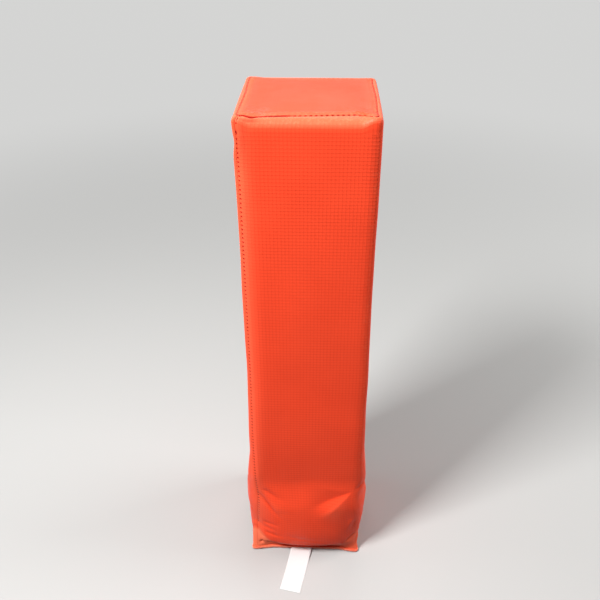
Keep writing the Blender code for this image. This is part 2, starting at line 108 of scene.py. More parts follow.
# The five parts of a turn round the pylon, each with its direction along and its direction
# outwards: the front from the seam, the right, the back, the left and the front's far end.
FRONT, RIGHT, BACK, LEFT, FRONT_END = range(5)
ALONG = np.array([(1, 0), (0, 1), (-1, 0), (0, -1), (1, 0)], float)
OUTWARDS = np.array([(0, -1), (1, 0), (0, 1), (-1, 0), (0, -1)], float)

# How far the settled sand pushes each wall's middle out, low down: the front, right, back and left.
BELLIES = (0.0064, 0.0018, 0.0036, 0.0044)
BELLY_FOOT = 0.0040
BELLY_FULL = 0.0190
BELLY_TOP = 0.1000

# How far the front falls back to its corners and over what width: to the left one beside the
# upright seam's four layers of vinyl, and low down, where sand fills the cover, to both.
SEAM_ROUND = 0.0056
SEAM_ROUND_WIDTH = 0.0135
LOW_ROUNDS = (0.0120, 0.0050)
LOW_ROUND_WIDTHS = (0.0420, 0.0220)
SAND_FULL, SAND_GONE = 0.0700, 0.1100
ROUND_TOP, ROUND_EASE = 0.4470, 0.0300
LEAN_FOOT = 0.0040
LEAN_HEIGHTS = (0.0320, 0.0180)

# How high each top corner's ear stands: the front right, back right, back left and front left.
EARS = np.array([0.0016, 0.0003, 0.0009, 0.0017])

# Where filling and handling have pulled the cover out of true, in millimetres: a place, the move
# there, and how far it is felt across and up.
PULLS = (
    (-54.0, -54.0, 8.0, -1.6, 0.9, 0.0, 16.0, 14.0),
    (54.0, -54.0, 8.0, -1.1, 1.4, 0.0, 14.0, 10.0),
    (-55.0, -34.0, 24.0, -1.4, 0.0, 0.0, 16.0, 14.0),
    (-54.0, -54.0, 440.0, 1.4, 0.0, 0.0, 16.0, 8.0),
    (53.0, -53.0, 80.0, -2.3, 0.0, 0.0, 18.0, 15.0),
    (-55.0, -42.0, 50.0, -1.4, 0.0, 0.0, 18.0, 18.0),
    (53.0, -53.0, 225.0, 1.2, 0.0, 0.0, 18.0, 34.0),
)


class Turns(NamedTuple):
    """Turns round the pylon, as arrays with one value for each turn: how far out it lies past the
    straight wall and how high, at the middle of the front, of the other walls and at the corners,
    the corner radii in plan, the crown of each wall, how far the corner's shape reaches into the
    wall, and how much of the ears' height and of the top seam's wandering it has."""

    out: np.ndarray
    z: np.ndarray
    side_out: np.ndarray
    side_z: np.ndarray
    corner_out: np.ndarray
    corner_z: np.ndarray
    radius: np.ndarray
    seam_radius: np.ndarray
    crown: np.ndarray
    ear_span: np.ndarray
    ear: np.ndarray
    wander: np.ndarray


class Columns(NamedTuple):
    """Places round a turn: the part, the share of its straight length, and past that the angle
    round the corner, which is 0 on the straight."""

    part: np.ndarray
    share: np.ndarray
    angle: np.ndarray


def ease(share):
    """A smooth step from 0 to 1, flat at both ends: 3 s squared less 2 s cubed."""
    share = np.clip(share, 0.0, 1.0)
    return share * share * (3 - 2 * share)


def mix(first, second, share):
    """A value part of the way between two: the first plus the share times the difference."""
    return first + (second - first) * share


def hump(place, centre, width):
    """A bell of height 1 at its centre: e to the minus of the distance over the width, squared."""
    return np.exp(-(((place - centre) / width) ** 2))


def unit(vectors):
    """Vectors of length 1: each one divided by its own length."""
    return vectors / np.maximum(1e-12, np.linalg.norm(vectors, axis=-1, keepdims=True))


def as_turns(*values):
    """Turns from their values in order, each one repeated to the length of the longest."""
    return Turns(*(np.array(v, float) for v in np.broadcast_arrays(*map(np.atleast_1d, values))))


def turns_of(out, z, corner, corner_z, radius, seam_radius, crown=0.0):
    """Turns whose walls are all alike, as they are everywhere but at the top."""
    return as_turns(out, z, out, z, corner, corner_z, radius, seam_radius, crown, EAR_SPAN, 0.0, 0.0)


def stacked(*groups):
    """Groups of turns joined into one, in their order."""
    return Turns(*(np.concatenate(values) for values in zip(*groups)))


def in_reverse(turns):
    """The same turns in the opposite order."""
    return Turns(*(values[::-1] for values in turns))


def shoulder(z, foot, top):
    """1 up to the foot, easing to 0 at the top."""
    return 1 - ease((z - foot) / (top - foot))


def swelling(z):
    """How much of the sand's swelling is left above its widest height: most of it eases away at
    the shoulder, round the bag's top edge, and the rest more slowly above it."""
    slow = shoulder(z, SHOULDER_TOP, SWELL_TOP)
    return mix(slow, shoulder(z, SHOULDER_FOOT, SHOULDER_TOP), SHOULDER_SHARE)


def corner_out(z):
    """How far out a corner lies: eased in from the ear to the waist, then out along a sine."""
    drawn_in = mix(EAR_FOOT, WAIST, ease((z - FLANGE_TOP) / (WAIST_HEIGHT - FLANGE_TOP)))
    turn = np.pi / 2 * np.clip((z - WAIST_HEIGHT) / (WIDEST - WAIST_HEIGHT), 0, 1)
    filled = mix(WAIST, CORNER_BULGE, np.sin(turn))
    return np.where(z < WAIST_HEIGHT, drawn_in, np.where(z < WIDEST, filled, CORNER_BULGE * swelling(z)))


def wall_out(z):
    """How far out the middle of a wall lies: it rolls under to the base seam along a curve whose
    cubes add up to 1, which is a little squarer than an ellipse."""
    lean = np.cos(ROLL_START) * np.clip((WIDEST - z) / (WIDEST - ROLL_FOOT), 0, 1)
    foot = np.cbrt(1 - np.cos(ROLL_START) ** 3)
    rolled = (np.cbrt(1 - lean**3) - foot) / (1 - foot)
    return np.where(z > WIDEST, BULGE * swelling(z), mix(-TUCK, BULGE, rolled))


def corner_radii(out):
    """The radii of the round corners and of the sharp one, drawn in or pushed out by that much."""
    return np.maximum(LEAST_RADIUS, CORNER_RADIUS + out), np.maximum(LEAST_RADIUS, SEAM_CORNER_RADIUS + out)


def seam_x(turns):
    """Where the upright seam crosses the front: beside the corner, with three soft bends."""
    z = turns.z
    bends = -0.0007 * hump(z, 0.150, 0.055) + 0.0018 * hump(z, 0.072, 0.022) - 0.0011 * hump(z, 0.028, 0.009)
    return -(HALF + np.minimum(0.0, turns.corner_out)) + SEAM_FROM_CORNER + bends


def top_wander(part, along):
    """How far the top seam strays outwards from a line parallel to the wall's edge, which is what
    the sewer's hand leaves: slanting across the front, with one dip, and a slow wave elsewhere."""
    front = 0.0006 - 0.078 * along + 0.0028 * hump(along, -0.0385, 0.0050)
    wave = 0.0004 * np.sin(along * 75 + 1.7 * part)
    return np.where((part == FRONT) | (part == FRONT_END), front, wave)


def pulled(points):
    """The points moved by each pull, as much as a bell of their distance from its place gives."""
    total = np.zeros_like(points)
    for row in PULLS:
        x, y, z, move_x, move_y, move_z, across, up = np.array(row) / 1000
        away = ((points - (x, y, z)) / (across, across, up)) ** 2
        total += np.exp(-away.sum(axis=-1, keepdims=True)) * (move_x, move_y, move_z)
    return points + total


def slumped(points):
    """The points moved as the filling and the seam shape the cover. Low down each wall's middle
    goes out, by its belly times 1 less the square of the distance along. The front is set back
    between the other walls' shoulder and its own, lower one, whose line wavers by two sines. It
    falls back to its corners by the square of the share of the way there, which starts at the
    ears and grows with height."""
    x, y, z = np.moveaxis(points, -1, 0)
    front, right, back, left = BELLIES
    rising = ease((z - BELLY_FOOT) / (BELLY_FULL - BELLY_FOOT))
    low = rising * ease((BELLY_TOP - z) / (BELLY_TOP - BELLY_FULL))
    over_x, over_y = np.maximum(0, 1 - (x / HALF) ** 2), np.maximum(0, 1 - (y / HALF) ** 2)
    line = z - 0.0018 * np.sin(x * 62 + 0.9) - 0.0008 * np.sin(x * 190)
    own_shoulder = shoulder(line, FRONT_SHOULDER_FOOT, FRONT_SHOULDER_TOP)
    set_back = shoulder(z, SHOULDER_FOOT, SHOULDER_TOP) - own_shoulder
    near, far = np.clip(-y / HALF, 0, 1), np.clip(y / HALF, 0, 1)
    reach, filled = HALF + corner_out(z), shoulder(z, SAND_FULL, SAND_GONE)
    width = mix(SEAM_ROUND_WIDTH, LOW_ROUND_WIDTHS[0], filled)
    leftwards = np.maximum(0, 1 - np.maximum(0, x + reach) / width)
    rounded = mix(SEAM_ROUND, LOW_ROUNDS[0], filled) * leftwards**2
    rounded *= np.clip((z - LEAN_FOOT) / LEAN_HEIGHTS[0], 0, 1) * ease((ROUND_TOP - z) / ROUND_EASE)
    rightwards = np.maximum(0, 1 - np.maximum(0, reach - x) / LOW_ROUND_WIDTHS[1])
    falling = LOW_ROUNDS[1] * filled * rightwards**2
    rounded += falling * np.clip((z - LEAN_FOOT) / LEAN_HEIGHTS[1], 0, 1)
    moved = np.zeros_like(points)
    moved[..., 0] = low * over_y * (right * np.clip(x / HALF, 0, 1) - left * np.clip(-x / HALF, 0, 1))
    moved[..., 1] = low * over_x * (back * far - front * near)
    moved[..., 1] += (BULGE * SHOULDER_SHARE * set_back + rounded) * near
    return points + moved


def ring_grid(turns, columns, seam_half):
    """A point for each turn and column. On a straight part the wall's own reach and height are
    mixed with the corner's by an eased share of the distance from the corner, with a crown that
    falls off as the square of that distance from the middle. Corners are quarter circles."""
    part, share, angle = columns
    (out, z, side_out, side_z, corner, corner_z, radius, seam_radius, crown, ear_span, ear, wander) = (
        values[:, None] for values in turns
    )
    on_front = (part == FRONT) | (part == FRONT_END)
    out, z = np.where(on_front, out, side_out), np.where(on_front, z, side_z)
    reach = HALF + corner
    seam = seam_x(turns)[:, None]
    first_radius = np.where(on_front, seam_radius, radius)
    last_radius = np.where(part == LEFT, seam_radius, radius)
    start = np.where(part == FRONT, seam + seam_half, first_radius - reach)
    end = np.where(part == FRONT_END, seam - seam_half, reach - last_radius)
    along = mix(start, end, share)
    near = np.where(along < 0, first_radius, last_radius)
    inner = ease((reach - near - np.abs(along)) / ear_span)
    level = HALF + mix(corner, out, inner) + crown * np.maximum(0, 1 - (along / reach) ** 2)
    level = level + wander * inner * top_wander(part, along)
    last_ear, first_ear = EARS[part % 4], EARS[(part - 1) % 4]
    first_end = (along < 0) & (angle == 0) | (part == FRONT_END)
    corner_z = corner_z + ear * np.where(first_end, first_ear, last_ear)
    height = mix(corner_z, z, inner)

    centre = reach - last_radius
    cornering = angle > 0
    along = np.where(cornering, centre + last_radius * np.sin(angle), along)
    level = np.where(cornering, centre + last_radius * np.cos(angle), level)
    height = np.where(cornering, corner_z, height)
    plan = along[..., None] * ALONG[part] + level[..., None] * OUTWARDS[part]
    sideways = np.clip(plan[..., 0] / HALF, -1, 1)
    plan[..., 0] += np.where(sideways < 0, *WIDER) * sideways * ease((height - 0.020) / 0.050)
    return pulled(np.concatenate([plan, height[..., None]], axis=-1))


def wall_columns(front_steps, side_steps, corner_steps):
    """Columns for a whole turn: even steps along each wall, closer ones beside the seam."""
    near_seam = np.array([0.0, 0.0007, 0.0015, 0.0024, 0.0034, 0.0046, 0.0060]) / FRONT_RUN
    even = np.arange(1, front_steps + 1) / front_steps
    rows = [(FRONT, np.concatenate([near_seam, even[even > near_seam[-1] + 0.004]]))]
    rows += [(part, np.arange(side_steps + 1) / side_steps) for part in (RIGHT, BACK, LEFT)]
    parts, shares, angles = [], [], []
    turn = np.pi / 2 * np.arange(1, corner_steps) / corner_steps
    for part, share in rows:
        parts += [np.full(len(share) + len(turn), part)]
        shares += [share, np.ones(len(turn))]
        angles += [np.zeros(len(share)), turn]
    last = np.array([0.0, 0.35, 0.7, 1.0])
    parts += [np.full(len(last), FRONT_END)]
    shares += [last]
    angles += [0 * last]
    return Columns(np.concatenate(parts), np.concatenate(shares), np.concatenate(angles))


def roll_height(share):
    """The height of a share of the turn from the base seam, at 0, to the widest part, at 1."""
    turn = mix(ROLL_START, np.pi / 2, share)
    return WIDEST - (WIDEST - ROLL_FOOT) * np.cos(turn) / np.cos(ROLL_START)


def wall_turns_at(z):
    """The turns of the plain wall at these heights, from the base seam to the top edge."""
    radius, sharp = corner_radii(corner_out(z))
    roundness = ease((z - FLANGE_TOP) / (WIDEST - FLANGE_TOP))
    crown = FACE_CROWN * ease((z - WIDEST) / (SWELL_TOP - WIDEST))
    radius = mix(EAR_RADIUS, radius, roundness)
    sharp = mix(FLANGE_SEAM_RADIUS, sharp, roundness)
    return turns_of(wall_out(z), z, corner_out(z), z, radius, sharp, crown)


def top_edge_turns(
    out, side_out, corner, z, side_z, corner_z, ear, crown=0.0, wander=1.0, ear_span=TOP_EAR_SPAN
):
    """Turns at the top, where the front, the other walls and the corners all differ."""
    radius, sharp = corner_radii(np.asarray(corner, float))
    return as_turns(out, z, side_out, side_z, corner, corner_z, radius, sharp, crown, ear_span, ear, wander)


def top_seam_turns(across, depth):
    """Turns at the top seam: across is measured inwards from its ditch, and depth down."""
    z = HEIGHT - SEAM_DROP - depth
    insets = (TOP_SEAM_INSET, SIDE_SEAM_INSET, CORNER_SEAM_INSET)
    return top_edge_turns(*(-(inset + across) for inset in insets), z, z, z, 1.0)


def leading_fold(steps, allowance):
    """Across and depth of an edge that folds back under its own panel: half an ellipse, then flat."""
    turn = np.pi * np.arange(1, steps + 1) / steps
    across = np.append(FOLD_HALF - FOLD_WIDTH * np.sin(turn), FOLD_HALF + allowance)
    depth = np.append(FOLD_DEPTH * (1 - np.cos(turn)), 2 * FOLD_DEPTH)
    return across, depth


def following_fold(steps, allowance):
    """Across and depth of an edge that dips at the ditch and passes under the leading edge: a
    quarter ellipse down, a wider quarter ellipse round the leading edge, then flat."""
    turn = np.pi / 2 * np.arange(1, steps + 1) / steps
    wide, deep = FOLD_WIDTH + 2 * FOLD_GAP, FOLD_DEPTH + 2 * FOLD_GAP
    dipping, passing = -FOLD_HALF + FOLD_WIDTH * np.sin(turn), FOLD_HALF - wide * np.cos(turn)
    across = np.concatenate([dipping, passing, [FOLD_HALF + allowance]])
    depth = [FOLD_DEPTH * (1 - np.cos(turn)), FOLD_DEPTH + deep * np.sin(turn), [FOLD_DEPTH + deep]]
    return across, np.concatenate(depth)


def wall_turns():
    """All turns of the walls from the edge of the base flange up to the edge under the top, and
    how many of them lie in the foot and in the plain middle, which has two for each stitch."""
    flat = np.array([0.0, 0.5, 1.0])
    flange = turns_of(
        mix(FLANGE_REACH, -TUCK, flat), FLANGE_TOP, mix(FLANGE_CORNER_REACH, EAR_FOOT, flat), FLANGE_TOP,
        EAR_RADIUS, FLANGE_SEAM_RADIUS
    )
    rolled = wall_turns_at(roll_height(np.linspace(0, 1, 58)))
    swollen = wall_turns_at(np.linspace(WIDEST, 0.1035, 21)[1:])
    plain = wall_turns_at(np.arange(58, 249) * STITCH / 2)
    turn = np.linspace(0, np.pi / 2, 12)
    inward, below = 1 - np.cos(turn), 1 - np.sin(turn)
    insets = np.array([TOP_SEAM_INSET, SIDE_SEAM_INSET, CORNER_SEAM_INSET]) - FOLD_HALF
    rolls = (TOP_SEAM_INSET - FOLD_HALF, SIDE_ROLL, CORNER_ROLL)
    heights = [HEIGHT - SEAM_DROP * ease(inward) - roll * below for roll in rolls]
    rounded = top_edge_turns(
        *(-inset * inward for inset in insets), *heights, np.sin(turn), FACE_CROWN * below, ease(inward)
    )
    turned = top_seam_turns(*following_fold(3, ALLOWANCE))
    foot = len(flat) + len(rolled.z) + len(swollen.z)
    return stacked(flange, rolled, swollen, plain, rounded, turned), foot, len(plain.z)


def normals_of(points):
    """Unit normals of a grid: the cross product of the steps along a turn and up it."""
    across, up = np.gradient(points, axis=1), np.gradient(points, axis=0)
    return unit(np.cross(across, up))


# Each tuck or wrinkle runs between two places on a wall, given as along and height in
# millimetres: then come its bend, its height, and its widths above and below its line.
FRONT_FOLDS = (
    (57.0, 99.0, 45.0, 91.0, 0.0, -1.30, 2.0, 1.8),
    (-48.0, 85.0, -17.0, 49.0, -1.2, -1.80, 2.3, 1.9),
    (-42.5, 91.5, -20.0, 75.0, 0.8, -0.95, 2.5, 2.2),
    (-28.0, 65.0, -9.0, 61.0, 0.4, -0.45, 2.2, 2.0),
    (-44.0, 41.0, -23.0, 46.0, 0.4, -0.95, 1.9, 1.7),
    (-43.0, 33.5, -28.0, 36.0, 0.3, -0.65, 1.5, 1.4),
    (-43.0, 27.0, -16.0, 29.5, 0.4, -1.00, 2.0, 1.8),
    (-53.0, 31.0, -35.0, 12.5, -2.2, -1.90, 1.6, 1.4),
    (-43.0, 11.5, -12.0, 4.5, -1.0, -2.00, 1.5, 1.8),
    (-47.5, 11.5, -43.5, 8.5, 0.0, -2.60, 1.6, 1.5),
    (-22.0, 34.0, 34.0, 24.0, -3.0, -0.55, 2.2, 1.8),
    (-8.0, 24.0, 40.0, 16.0, -3.0, -0.45, 2.2, 1.8),
    (45.8, 56.0, 40.5, 37.0, 0.5, 0.80, 1.3, 1.5),
    (50.0, 52.0, 44.0, 30.0, 0.5, -0.60, 1.3, 1.5),
    (50.5, 29.0, 37.0, 12.0, 1.5, -1.20, 1.6, 1.4),
    (54.0, 30.0, 49.5, 5.0, 0.5, -1.10, 1.3, 1.3),
    (36.0, 14.0, 10.0, 5.0, 1.0, -0.70, 1.6, 1.4),
)
RIGHT_FOLDS = (
    (-45.0, 92.0, -12.0, 70.0, 2.4, -0.80, 2.2, 2.0),
    (-46.0, 60.0, -22.0, 46.0, 1.0, -0.70, 1.8, 1.6),
    (-50.5, 32.0, -34.0, 11.0, -1.0, -1.20, 1.8, 1.6),
    (46.0, 50.0, 20.0, 38.0, -0.8, -0.70, 1.8, 1.6),
    (50.5, 32.0, 35.0, 11.0, 1.0, -1.20, 1.8, 1.6),
    (-24.0, 28.0, 26.0, 22.0, -3.0, -0.45, 2.4, 2.2),
)
BACK_FOLDS = (
    (-45.0, 56.0, -24.0, 43.0, 0.8, -0.70, 1.8, 1.6),
    (-50.5, 32.0, -34.0, 11.0, -1.0, -1.20, 1.8, 1.6),
    (46.0, 90.0, 24.0, 66.0, -1.6, -0.80, 2.0, 1.8),
    (46.0, 47.0, 24.0, 36.0, -0.8, -0.60, 1.8, 1.6),
    (50.5, 32.0, 35.0, 11.0, 1.0, -1.20, 1.8, 1.6),
    (-30.0, 30.0, 24.0, 24.0, -3.0, -0.45, 2.4, 2.2),
)
LEFT_FOLDS = (
    (-46.0, 90.0, -24.0, 70.0, 2.0, -0.80, 2.0, 1.8),
    (-45.0, 52.0, -24.0, 40.0, 0.8, -0.60, 1.8, 1.6),
    (-50.5, 32.0, -34.0, 11.0, -1.0, -1.20, 1.8, 1.6),
    (46.0, 55.0, 22.0, 44.0, -0.8, -0.60, 1.8, 1.6),
    (50.5, 33.0, 35.0, 11.0, 1.0, -1.20, 1.8, 1.6),
    (-20.0, 27.0, 30.0, 22.0, -3.0, -0.45, 2.4, 2.2),
)

# Each dart is a fan of facets from a point, given as along and height in millimetres: then come
# the directions in degrees where it starts, its valley, its crest and its end, the slopes at the
# valley and the crest, and how far from the point it starts to fade and is gone, in millimetres.
FRONT_DARTS = (
    (45.0, 92.0, 174.0, 207.0, 227.0, 264.0, -0.105, 0.095, 18.0, 52.0),
    (-46.5, 92.0, 352.0, 334.0, 308.0, 282.0, -0.010, 0.045, 22.0, 52.0),
)
RIGHT_DARTS = (
    (-47.0, 92.0, 352.0, 335.0, 311.0, 264.0, -0.050, 0.060, 24.0, 58.0),
    (47.0, 84.0, 190.0, 207.0, 232.0, 276.0, -0.045, 0.075, 22.0, 52.0),
)
BACK_DARTS = (
    (-47.0, 96.0, 352.0, 334.0, 309.0, 262.0, -0.055, 0.095, 26.0, 60.0),
    (47.5, 82.0, 189.0, 205.0, 228.0, 272.0, -0.040, 0.065, 20.0, 48.0),
)
LEFT_DARTS = (
    (38.0, 95.0, 188.0, 204.0, 229.0, 276.0, -0.050, 0.080, 24.0, 56.0),
    (-47.0, 80.0, 350.0, 333.0, 310.0, 266.0, -0.040, 0.065, 20.0, 46.0),
)
DART_ROUNDING = 2.5


def darts_on(along, z, darts):
    """The height of a wall's darts at each place: the distance from the dart's point times a slope
    that runs straight from one of its directions to the next, rounded there, and fades far off."""
    total = np.zeros_like(along)
    for tip, tip_z, start, valley, crest, end, depth, height, near, far in darts:
        over, up = along - tip / 1000, z - tip_z / 1000
        away = np.hypot(over, up)
        angle = np.degrees(np.arctan2(up, over)) % 360
        directions, slopes = (start, valley, crest, end), (0.0, depth, height, 0.0)
        if start > end:
            directions, slopes = directions[::-1], slopes[::-1]
        turned = (angle - DART_ROUNDING, angle, angle + DART_ROUNDING)
        slope = sum(np.interp(direction, directions, slopes) for direction in turned) / 3
        total += away * slope * ease((far / 1000 - away) / ((far - near) / 1000))
    return total


def creased(part, along, z, with_darts=True):
    """The height of all the folds of the wall that each place lies on, and of its darts."""
    total = np.zeros_like(along)
    for wall, folds, darts in (
        (FRONT, FRONT_FOLDS, FRONT_DARTS), (RIGHT, RIGHT_FOLDS, RIGHT_DARTS),
        (BACK, BACK_FOLDS, BACK_DARTS), (LEFT, LEFT_FOLDS, LEFT_DARTS),
    ):
        height = folds_on(along, z, folds) + (darts_on(along, z, darts) if with_darts else 0)
        total += np.where(part % 4 == wall, height, 0)
    return total


def folds_on(along, z, folds):
    """The height of a wall's folds at each place: for each, a bell across its bent line, with its
    own width on each side, times a rise that is quick at the start and slow towards the end."""
    total = np.zeros_like(along)
    for row in folds:
        x0, z0, x1, z1, bend, height, above, below = np.array(row) / 1000
        length = np.hypot(x1 - x0, z1 - z0)
        step = np.array([x1 - x0, z1 - z0]) / length
        share = ((along - x0) * step[0] + (z - z0) * step[1]) / length
        side = (z - z0) * step[0] - (along - x0) * step[1]
        side = side * np.sign(step[0]) - bend * 4 * share * (1 - share)
        profile = np.exp(-np.abs(side / np.where(side > 0, above, below)) ** 1.6)
        total += height * profile * ease(share / 0.16) * ease((1 - share) / 0.75)
    return total


def unevenness(points):
    """Slow swells in the walls, where the foam doesn't quite fill the cover: crossed sines."""
    x, y, z = np.moveaxis(points, -1, 0)
    first = np.sin(z * 47 + 2.2 * np.sin(x * 38 + y * 31)) * np.cos((x - y) * 52 + 0.7)
    second = np.sin(z * 88 + x * 41 - y * 63 + 1.1) * np.cos(z * 29 + 0.4)
    return 0.00022 * first + 0.00012 * second


def along_wall(part, x, y):
    """How far along its own wall a place lies: x or y, whichever runs along it, in its direction."""
    return np.where(part % 2 == 0, x * ALONG[part, 0], y * ALONG[part, 1])


def sewn_walls(turns, columns):
    """The walls' points with everything that the sewing and the sand do to them: each point of the plain
    ring moves along its normal by the sum of the folds, the puffing beside the seams, the pinch of each
    stitch and the slow swells. How deep in a fold and how far up a dart's ridge each one lies comes with
    them, as shares, for painted shade in the folds and a painted highlight on the ridges."""
    plain = slumped(ring_grid(turns, columns, FOLD_HALF))
    normal = normals_of(plain)
    x, y, z = np.moveaxis(plain, -1, 0)
    part = np.broadcast_to(columns.part, x.shape)
    along = along_wall(part, x, y)
    creases = creased(part, along, z)
    folds = creased(part, along, z, False)
    moved = creases + unevenness(plain) * ease((z - 0.06) / 0.05) * ease((0.450 - z) / 0.02)

    from_seam = np.where(part == LEFT, np.hypot(HALF + y, 0.002), np.abs(x - seam_x(turns)[:, None]))
    beside = ((part == FRONT) | (part == FRONT_END)) * ease((z - 0.012) / 0.02)
    stitch = np.cos(2 * np.pi * z / STITCH) * ease((z - STITCHED_FROM) / 0.004)
    stitch *= ease((STITCHED_TO - z) / 0.004)
    moved += beside * mix(0.00010, 0.00042, ease((z - 0.085) / 0.04)) * hump(from_seam, 0.0030, 0.0021)
    held_flat = (part % 4 == FRONT) & (from_seam < 0.010) & (z > 0.020)
    moved = np.where(held_flat, np.maximum(moved, -0.0006 - 0.06 * from_seam), moved)
    moved -= beside * stitch * 0.00016 * np.exp(-from_seam / 0.0016)

    round_top = (turns.wander[:, None] > 0) * 1.0
    pinch = np.cos(2 * np.pi * stitch_count(columns)) * hump(turns.out[:, None], -TOP_SEAM_INSET, 0.0014)
    moved -= round_top * pinch * 0.00005
    moved += round_top * 0.00025 * hump(turns.out[:, None], -0.0050, 0.0026)
    moved *= ease((turns.z[:, None] - ROLL_FOOT) / 0.0025)
    moved[turns.z > 0.44] *= (turns.out > -TOP_SEAM_INSET + 0.0002)[turns.z > 0.44][:, None]
    fold_shade = np.clip(-folds / 0.0013 - 0.2, 0, 1)
    up_ridge = np.clip((creases - folds) / 0.0014 - 0.2, 0, 1)
    return plain + normal * moved[..., None], fold_shade, up_ridge


def stitch_count(columns):
    """How many stitches of the top seam lie before each column, with whole numbers at the holes."""
    part, share = columns.part, columns.share
    stitches = np.where(part == FRONT, FRONT_STITCHES, SIDE_STITCHES)
    start = FRONT_STITCHES + SIDE_STITCHES * np.arange(-1, 4)
    start[FRONT] = 0
    return start[part] + np.where(part == FRONT_END, 0, stitches * share)


def seam_folds(points, turns, fold):
    """The folded edge of the upright seam, as extra columns beside the walls' first or last one:
    the fold's across and depth, laid off from the ditch along the turn and inwards from it. The
    fold is shallow and short at the flange and under the top, where it is trimmed."""
    edge = (points[:, 0] + points[:, -1]) / 2
    up = np.gradient(edge, axis=0)
    across = np.zeros_like(edge)
    across[:, 0] = 1
    inward = unit(np.cross(up, across))
    inward[turns.z < ROLL_FOOT + 0.0002] = (0, 0.7, 0)
    trimmed = ease((turns.z - ROLL_FOOT) / 0.010) * ease((HEIGHT - 0.004 - turns.z) / 0.008)
    trimmed[turns.out < -TOP_SEAM_INSET + FOLD_HALF + 0.0002] = 0
    reach, depth = fold
    deep = mix(0.35, 1.0, trimmed)[:, None]
    notched = mix(0.35, 1.0, ease((turns.z - 0.096) / 0.020))
    far = np.where(reach > FOLD_HALF + 0.0005, (mix(0.12, 1.0, trimmed) * notched)[:, None], 1.0)
    sideways = across[:, None] * (reach * far)[..., None]
    return edge[:, None] + sideways + inward[:, None] * (depth * deep)[..., None]


def zoned_faces(rows, width, kept, zones):
    """The faces of a grid in bands: the bands named coarse use the kept columns alone, and a face
    that borders a fine band takes in that band's points on its edge."""
    everything = np.arange(width)
    some = np.flatnonzero(kept)
    faces = []
    for first, last, coarse in zones:
        used = some if coarse else everything
        low = np.arange(first, last)[:, None] * width
        quads = np.stack(np.broadcast_arrays(
            low + used[:-1], low + used[1:], low + width + used[1:], low + width + used[:-1]), axis=-1)
        skip_low, skip_high = (1, 1) if coarse else (0, 0)
        faces += quads[skip_low : len(quads) - skip_high].reshape(-1, 4).tolist()
        if coarse:
            for left, right in zip(some[:-1], some[1:]):
                between = list(range(left, right + 1))
                under = [first * width + c for c in between]
                over = [last * width + c for c in between[::-1]]
                faces.append(under + [(first + 1) * width + right, (first + 1) * width + left])
                faces.append([(last - 1) * width + left, (last - 1) * width + right] + over)
    return faces


def run_along(line):
    """How far along a line each of its points lies: the distances between them, added up."""
    return np.concatenate([[0], np.cumsum(np.linalg.norm(np.diff(line, axis=0), axis=1))])


def run_over(turns):
    """How far over a sheet each of its turns lies: the steps between them, out and up, added up."""
    return np.concatenate([[0], np.cumsum(np.hypot(np.diff(turns.out), np.diff(turns.z)))])


def grid_map(first, second):
    """A UV map of a grid, from values for its turns or its columns."""
    return np.stack(np.broadcast_arrays(first, second), axis=-1)


def new_piece(name, points, faces, materials, maps=None, attributes=None):
    """A mesh object from points and faces, with UV maps and attributes given for each point. The
    points that no face uses are left out."""
    points = np.asarray(points, float).reshape(-1, 3)
    used = np.unique(np.concatenate(faces))
    place = np.full(len(points), -1)
    place[used] = np.arange(len(used))
    faces = [place[face].tolist() for face in faces]
    mesh = bpy.data.meshes.new(name)
    mesh.from_pydata(points[used].tolist(), [], faces)
    corners = np.empty(len(mesh.loops), np.int32)
    mesh.loops.foreach_get("vertex_index", corners)
    for title, values in (maps or {}).items():
        layer = mesh.uv_layers.new(name=title)
        layer.data.foreach_set("uv", np.asarray(values, float).reshape(-1, 2)[used][corners].ravel())
    for title, values in (attributes or {}).items():
        layer = mesh.attributes.new(title, "FLOAT", "POINT")
        layer.data.foreach_set("value", np.asarray(values, float).reshape(-1)[used])
    for material in materials:
        mesh.materials.append(material)
    mesh.shade_smooth()
    mesh.update()
    item = bpy.data.objects.new(name, mesh)
    bpy.context.scene.collection.objects.link(item)
    return item


def thickened(item, thickness, edge_slot=0):
    """Gives a sheet its thickness, behind the side that its faces show."""
    solidify = item.modifiers.new("thickness", "SOLIDIFY")
    solidify.thickness = thickness
    solidify.offset = -1
    solidify.use_even_offset = False
    solidify.material_offset_rim = edge_slot


def in_place_of(item, node):
    """A piece joins the pylon's own body and stands for its solid, which is hidden."""
    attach(item, "pylon")
    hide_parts(node)


